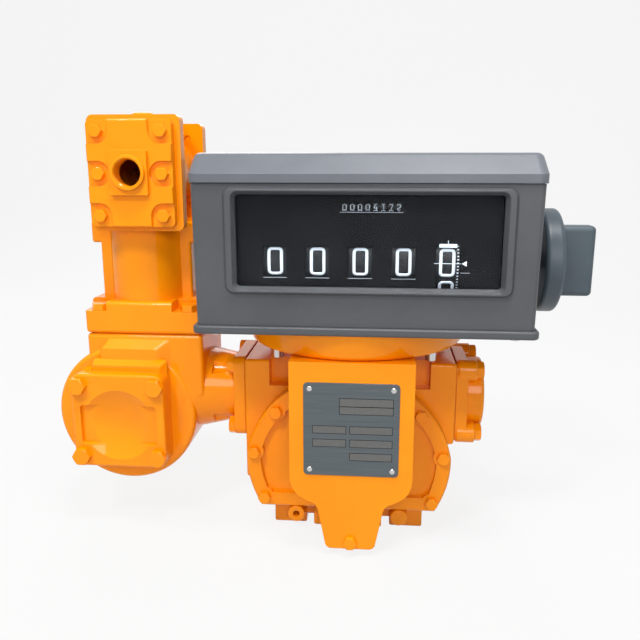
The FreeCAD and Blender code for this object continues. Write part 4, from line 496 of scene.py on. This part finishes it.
makeUnitScale()
print("wheels marked")


# the white strip placed above the units window is a painted reflection
dial = {"faceDepth": 4.9, "lineThick": 0.12,
        "sillWidth": 21.0, "sillThick": 0.22, "sillDrop": 13.9,
        "totalWidth": 54.0, "totalDrop": 4.1,
        "pointerRadius": 2.75, "pointerGap": 4.2, "sideMark": 8.0, "sideGap": 4.5, "sideDrop": 8.0,
        "sheenBandLift": 15.2, "sheenBandWidth": 15.0, "sheenBandTall": 3.0, "tickWidth": 0.5}


def makeDialMarks():
    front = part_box("dial_plate")[0].y + dial["faceDepth"] * mm
    units = wheelPlace("figure_wheel_1")
    bm = bmesh.new()
    for index in range(2, 6):
        wheel = wheelPlace("figure_wheel_%d" % index)
        addSlab(bm, (wheel["x"], front, wheel["z"] - dial["sillDrop"] * mm),
                (dial["sillWidth"] * mm, dial["lineThick"] * mm, dial["sillThick"] * mm))
    total = wheelPlace("total_wheel_4")
    middle = (wheelPlace("total_wheel_1")["x"] + wheelPlace("total_wheel_8")["x"]) / 2
    addSlab(bm, (middle, front, total["z"] - dial["totalDrop"] * mm),
            (dial["totalWidth"] * mm, dial["lineThick"] * mm, dial["sillThick"] * mm))
    # pointer beside the units window
    radius = dial["pointerRadius"] * mm
    made = bmesh.ops.create_cone(bm, cap_ends=True, segments=3, radius1=radius, radius2=radius,
                                 depth=dial["lineThick"] * mm)
    bmesh.ops.rotate(bm, cent=(0, 0, 0), matrix=Matrix.Rotation(math.radians(90), 3, "X"),
                     verts=made["verts"])
    bmesh.ops.rotate(bm, cent=(0, 0, 0), matrix=Matrix.Rotation(math.radians(-90), 3, "Y"),
                     verts=made["verts"])
    bmesh.ops.translate(bm, vec=(units["right"] + dial["pointerGap"] * mm, front, units["z"]),
                        verts=made["verts"])
    addSlab(bm, (units["right"] + dial["sideGap"] * mm, front,
                 units["z"] - dial["sideDrop"] * mm),
            (dial["sideMark"] * mm, dial["lineThick"] * mm, dial["sillThick"] * mm))
    # white band over the units window, a painted reflection of light on the wheel's shiny top,
    # with its tick
    band = units["z"] + dial["sheenBandLift"] * mm
    addSlab(bm, (units["x"], front, band),
            (dial["sheenBandWidth"] * mm, dial["lineThick"] * mm, dial["sheenBandTall"] * mm))
    addSlab(bm, (units["x"], front, band + dial["sheenBandTall"] * mm),
            (dial["tickWidth"] * mm, dial["lineThick"] * mm, dial["sheenBandTall"] * mm))
    return finishPiece("dialMarks", bm, figureWhite, "meter")


makeDialMarks()


indexWire = {"thick": 0.5, "depth": 4.6, "over": 1.0, "sides": 10}


def makeIndexWire():
    # a fine wire crosses the units window at reading height
    units = wheelPlace("figure_wheel_1")
    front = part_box("dial_plate")[0].y + indexWire["depth"] * mm
    radius = indexWire["thick"] * mm / 2
    halfLength = units["right"] - units["x"] + indexWire["over"] * mm
    bm = bmesh.new()
    made = bmesh.ops.create_cone(bm, cap_ends=True, segments=indexWire["sides"], radius1=radius,
                                 radius2=radius, depth=2 * halfLength)
    bmesh.ops.rotate(bm, cent=(0, 0, 0), matrix=Matrix.Rotation(math.radians(90), 3, "Y"),
                     verts=made["verts"])
    bmesh.ops.translate(bm, vec=(units["x"], front, units["z"]), verts=made["verts"])
    return finishPiece("indexWire", bm, figureWhite, "meter", smooth=True)


makeIndexWire()
print("dial marked")


plateFields = {"line": 0.6, "padRise": 0.06, "lineRise": 0.084, "boxes": [
    # left, top, right, bottom from the plate's upper left corner
    (32.6, 14.2, 80.8, 21.9), (32.6, 21.9, 80.8, 29.2),
    (8.3, 40.6, 38.6, 47.8), (42.0, 40.6, 80.4, 47.8),
    (8.3, 53.4, 38.6, 60.6), (42.0, 53.4, 80.4, 60.6), (42.0, 66.2, 80.4, 73.4)]}


def makePlateFields():
    low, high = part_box("nameplate")
    lines = bmesh.new()
    fields = bmesh.new()
    line = plateFields["line"] * mm
    padRise = plateFields["padRise"] * mm
    lineRise = plateFields["lineRise"] * mm
    for left, top, right, bottom in plateFields["boxes"]:
        x0 = low.x + left * mm
        x1 = low.x + right * mm
        z0 = high.z - bottom * mm
        z1 = high.z - top * mm
        addSlab(fields, ((x0 + x1) / 2, low.y - padRise / 2, (z0 + z1) / 2),
                (x1 - x0 - line, padRise, z1 - z0 - line))
        for x in (x0, x1):
            addSlab(lines, (x, low.y - lineRise / 2, (z0 + z1) / 2),
                    (line, lineRise, z1 - z0 + line))
        for z in (z0, z1):
            addSlab(lines, ((x0 + x1) / 2, low.y - lineRise / 2, z),
                    (x1 - x0 - line, lineRise, line))
    finishPiece("plateLines", lines, inkBlack, "meter")
    finishPiece("plateFieldPads", fields, fieldAluminium, "meter")


makePlateFields()
print("nameplate ruled")


threads = {
    "outletThread": {"mount": "outlet_thread", "node": "outlet_flange", "length": 22.0,
                     "height": 1.0},
    "inletThread": {"mount": "inlet_thread", "node": "inlet_flange", "length": 15.5,
                    "height": 1.0},
    "ventThread": {"mount": "vent_thread", "node": "air_cover_front", "length": 15.5,
                   "height": 0.9}}
ridge = {"pitch": 2.2, "foot": 0.45, "sunk": 0.02, "first": 0.8, "steps": 48}
mounts = {mount["name"]: mount for mount in frame["record"]["mounts"]}


def makeThread(name, thread):
    # ridges spun one by one round the bore; foot and first are shares of the pitch
    mount = mounts[thread["mount"]]
    axis = Vector(mount["axis"])
    place = Vector(mount["pos_m"])
    centre = place - axis * place.dot(axis)
    mouth = max(corner.dot(axis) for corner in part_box(thread["node"]))
    side = Vector((0, 0, 1))
    radius = mount["dims"]["r_mm"] * mm
    pitch = ridge["pitch"] * mm
    foot = side * (radius + ridge["sunk"] * mm)
    crest = side * (radius - thread["height"] * mm)
    bm = bmesh.new()
    for turn in range(int(thread["length"] / ridge["pitch"])):
        along = mouth - (turn + ridge["first"]) * pitch
        corners = [centre + foot + axis * (along - pitch * ridge["foot"]),
                   centre + crest + axis * along,
                   centre + foot + axis * (along + pitch * ridge["foot"])]
        verts = [bm.verts.new(corner) for corner in corners]
        edges = [bm.edges.new((verts[0], verts[1])), bm.edges.new((verts[1], verts[2])),
                 bm.edges.new((verts[2], verts[0]))]
        bmesh.ops.spin(bm, geom=verts + edges, cent=centre, axis=axis, dvec=(0, 0, 0),
                       angle=2 * math.pi, steps=ridge["steps"], use_merge=True,
                       use_duplicate=False)
    bmesh.ops.remove_doubles(bm, verts=bm.verts, dist=0.001 * mm)
    bmesh.ops.recalc_face_normals(bm, faces=bm.faces)
    return finishPiece(name, bm, orangeEnamel, "meter", smooth=False)


for name, thread in threads.items():
    makeThread(name, thread)
print("threads cut")


studio = {"floorSize": 6.0, "wallAway": 2.2, "sweep": 0.9, "sweepSteps": 12,
          "floorTone": (0.5, 0.5, 0.5, 1), "floorGlow": 0.86,
          "worldTone": (0.92, 0.95, 1.0, 1), "worldLevel": 0.3}


def seenByEye(tree):
    # one where the camera, a gloss or a pane looks straight at the surface
    path = addNode(tree, "ShaderNodeLightPath")
    gloss = addNode(tree, "ShaderNodeMath", operation="MAXIMUM")
    pane = addNode(tree, "ShaderNodeMath", operation="MAXIMUM")
    joinSockets(tree, path.outputs["Is Camera Ray"], gloss.inputs[0])
    joinSockets(tree, path.outputs["Is Glossy Ray"], gloss.inputs[1])
    joinSockets(tree, gloss.outputs["Value"], pane.inputs[0])
    joinSockets(tree, path.outputs["Is Transmission Ray"], pane.inputs[1])
    return pane.outputs["Value"]


def makeFloor():
    bm = bmesh.new()
    half = studio["floorSize"] / 2
    corners = [(-half, -half, 0), (half, -half, 0), (half, studio["wallAway"], 0),
               (-half, studio["wallAway"], 0)]
    verts = [bm.verts.new(corner) for corner in corners]
    bm.faces.new(verts)
    near = 0.01
    far = [edge for edge in bm.edges
           if min(v.co.y for v in edge.verts) > studio["wallAway"] - near]
    made = bmesh.ops.extrude_edge_only(bm, edges=far)
    raised = [v for v in made["geom"] if isinstance(v, bmesh.types.BMVert)]
    bmesh.ops.translate(bm, vec=(0, 0, half), verts=raised)
    knee = [edge for edge in bm.edges
            if all(abs(v.co.y - studio["wallAway"]) < near and v.co.z < near for v in edge.verts)]
    bmesh.ops.bevel(bm, geom=knee, offset=studio["sweep"], segments=studio["sweepSteps"],
                    profile=0.5, affect="EDGES", material=-1)
    mesh = bpy.data.meshes.new("studioFloor")
    bm.to_mesh(mesh)
    bm.free()
    for face in mesh.polygons:
        face.use_smooth = True
    material, tree, shader = newMaterial("floorPaper", Roughness=0.9,
                                         Base_Color=studio["floorTone"])
    glow = addNode(tree, "ShaderNodeEmission")
    share = addNode(tree, "ShaderNodeMath", operation="MULTIPLY")
    share.inputs[1].default_value = studio["floorGlow"]
    mix = addNode(tree, "ShaderNodeMixShader")
    joinSockets(tree, seenByEye(tree), share.inputs[0])
    joinSockets(tree, share.outputs["Value"], mix.inputs["Fac"])
    joinSockets(tree, shader.outputs["BSDF"], mix.inputs[1])
    joinSockets(tree, glow.outputs["Emission"], mix.inputs[2])
    joinSockets(tree, mix.outputs["Shader"], tree.nodes["Material Output"].inputs["Surface"])
    mesh.materials.append(material)
    floor = bpy.data.objects.new("studioFloor", mesh)
    bpy.context.scene.collection.objects.link(floor)


makeFloor()

lamps = {
    "keyLamp": {"place": (-0.8, -1.5, 2.2), "aim": (0, 0, 0.2), "size": (0.55, 0.4), "power": 34},
    "fillLamp": {"place": (0.3, -1.9, 0.95), "aim": (0, 0, 0.25), "size": (0.8, 0.8), "power": 12},
    "topLamp": {"place": (0.2, -0.5, 1.9), "aim": (0, 0, 0.2), "size": (0.6, 0.3), "power": 24},
    "backLamp": {"place": (-0.6, 1.5, 1.2), "aim": (0, 0, 0.25), "size": (1.0, 1.0), "power": 14}}


def makeLamp(name, lamp):
    data = bpy.data.lights.new(name, "AREA")
    data.shape = "RECTANGLE"
    data.size, data.size_y = lamp["size"]
    data.energy = lamp["power"]
    light = bpy.data.objects.new(name, data)
    light.location = lamp["place"]
    light.rotation_euler = (Vector(lamp["aim"]) - Vector(lamp["place"])).to_track_quat(
        "-Z", "Y").to_euler()
    bpy.context.scene.collection.objects.link(light)


for name, lamp in lamps.items():
    makeLamp(name, lamp)


def makeWorld():
    world = bpy.data.worlds.new("paleRoom")
    world.use_nodes = True
    tree = world.node_tree
    room = tree.nodes["Background"]
    room.inputs["Color"].default_value = studio["worldTone"]
    room.inputs["Strength"].default_value = studio["worldLevel"]
    seen = addNode(tree, "ShaderNodeBackground")
    mix = addNode(tree, "ShaderNodeMixShader")
    joinSockets(tree, seenByEye(tree), mix.inputs["Fac"])
    joinSockets(tree, room.outputs["Background"], mix.inputs[1])
    joinSockets(tree, seen.outputs["Background"], mix.inputs[2])
    joinSockets(tree, mix.outputs["Shader"], tree.nodes["World Output"].inputs["Surface"])
    bpy.context.scene.world = world


makeWorld()

view = {"place": (0.0275, -0.700, 0.364), "down": 12.88, "left": 4.9, "lens": 39.375}
camera = bpy.data.objects.new("viewCamera", bpy.data.cameras.new("viewCamera"))
camera.data.lens = view["lens"]
camera.data.sensor_width = 36.0
camera.location = view["place"]
camera.rotation_euler = (math.radians(90 - view["down"]), 0, math.radians(view["left"]))
bpy.context.scene.collection.objects.link(camera)
bpy.context.scene.camera = camera
bpy.context.scene.view_settings.view_transform = "Standard"
print("studio ready")
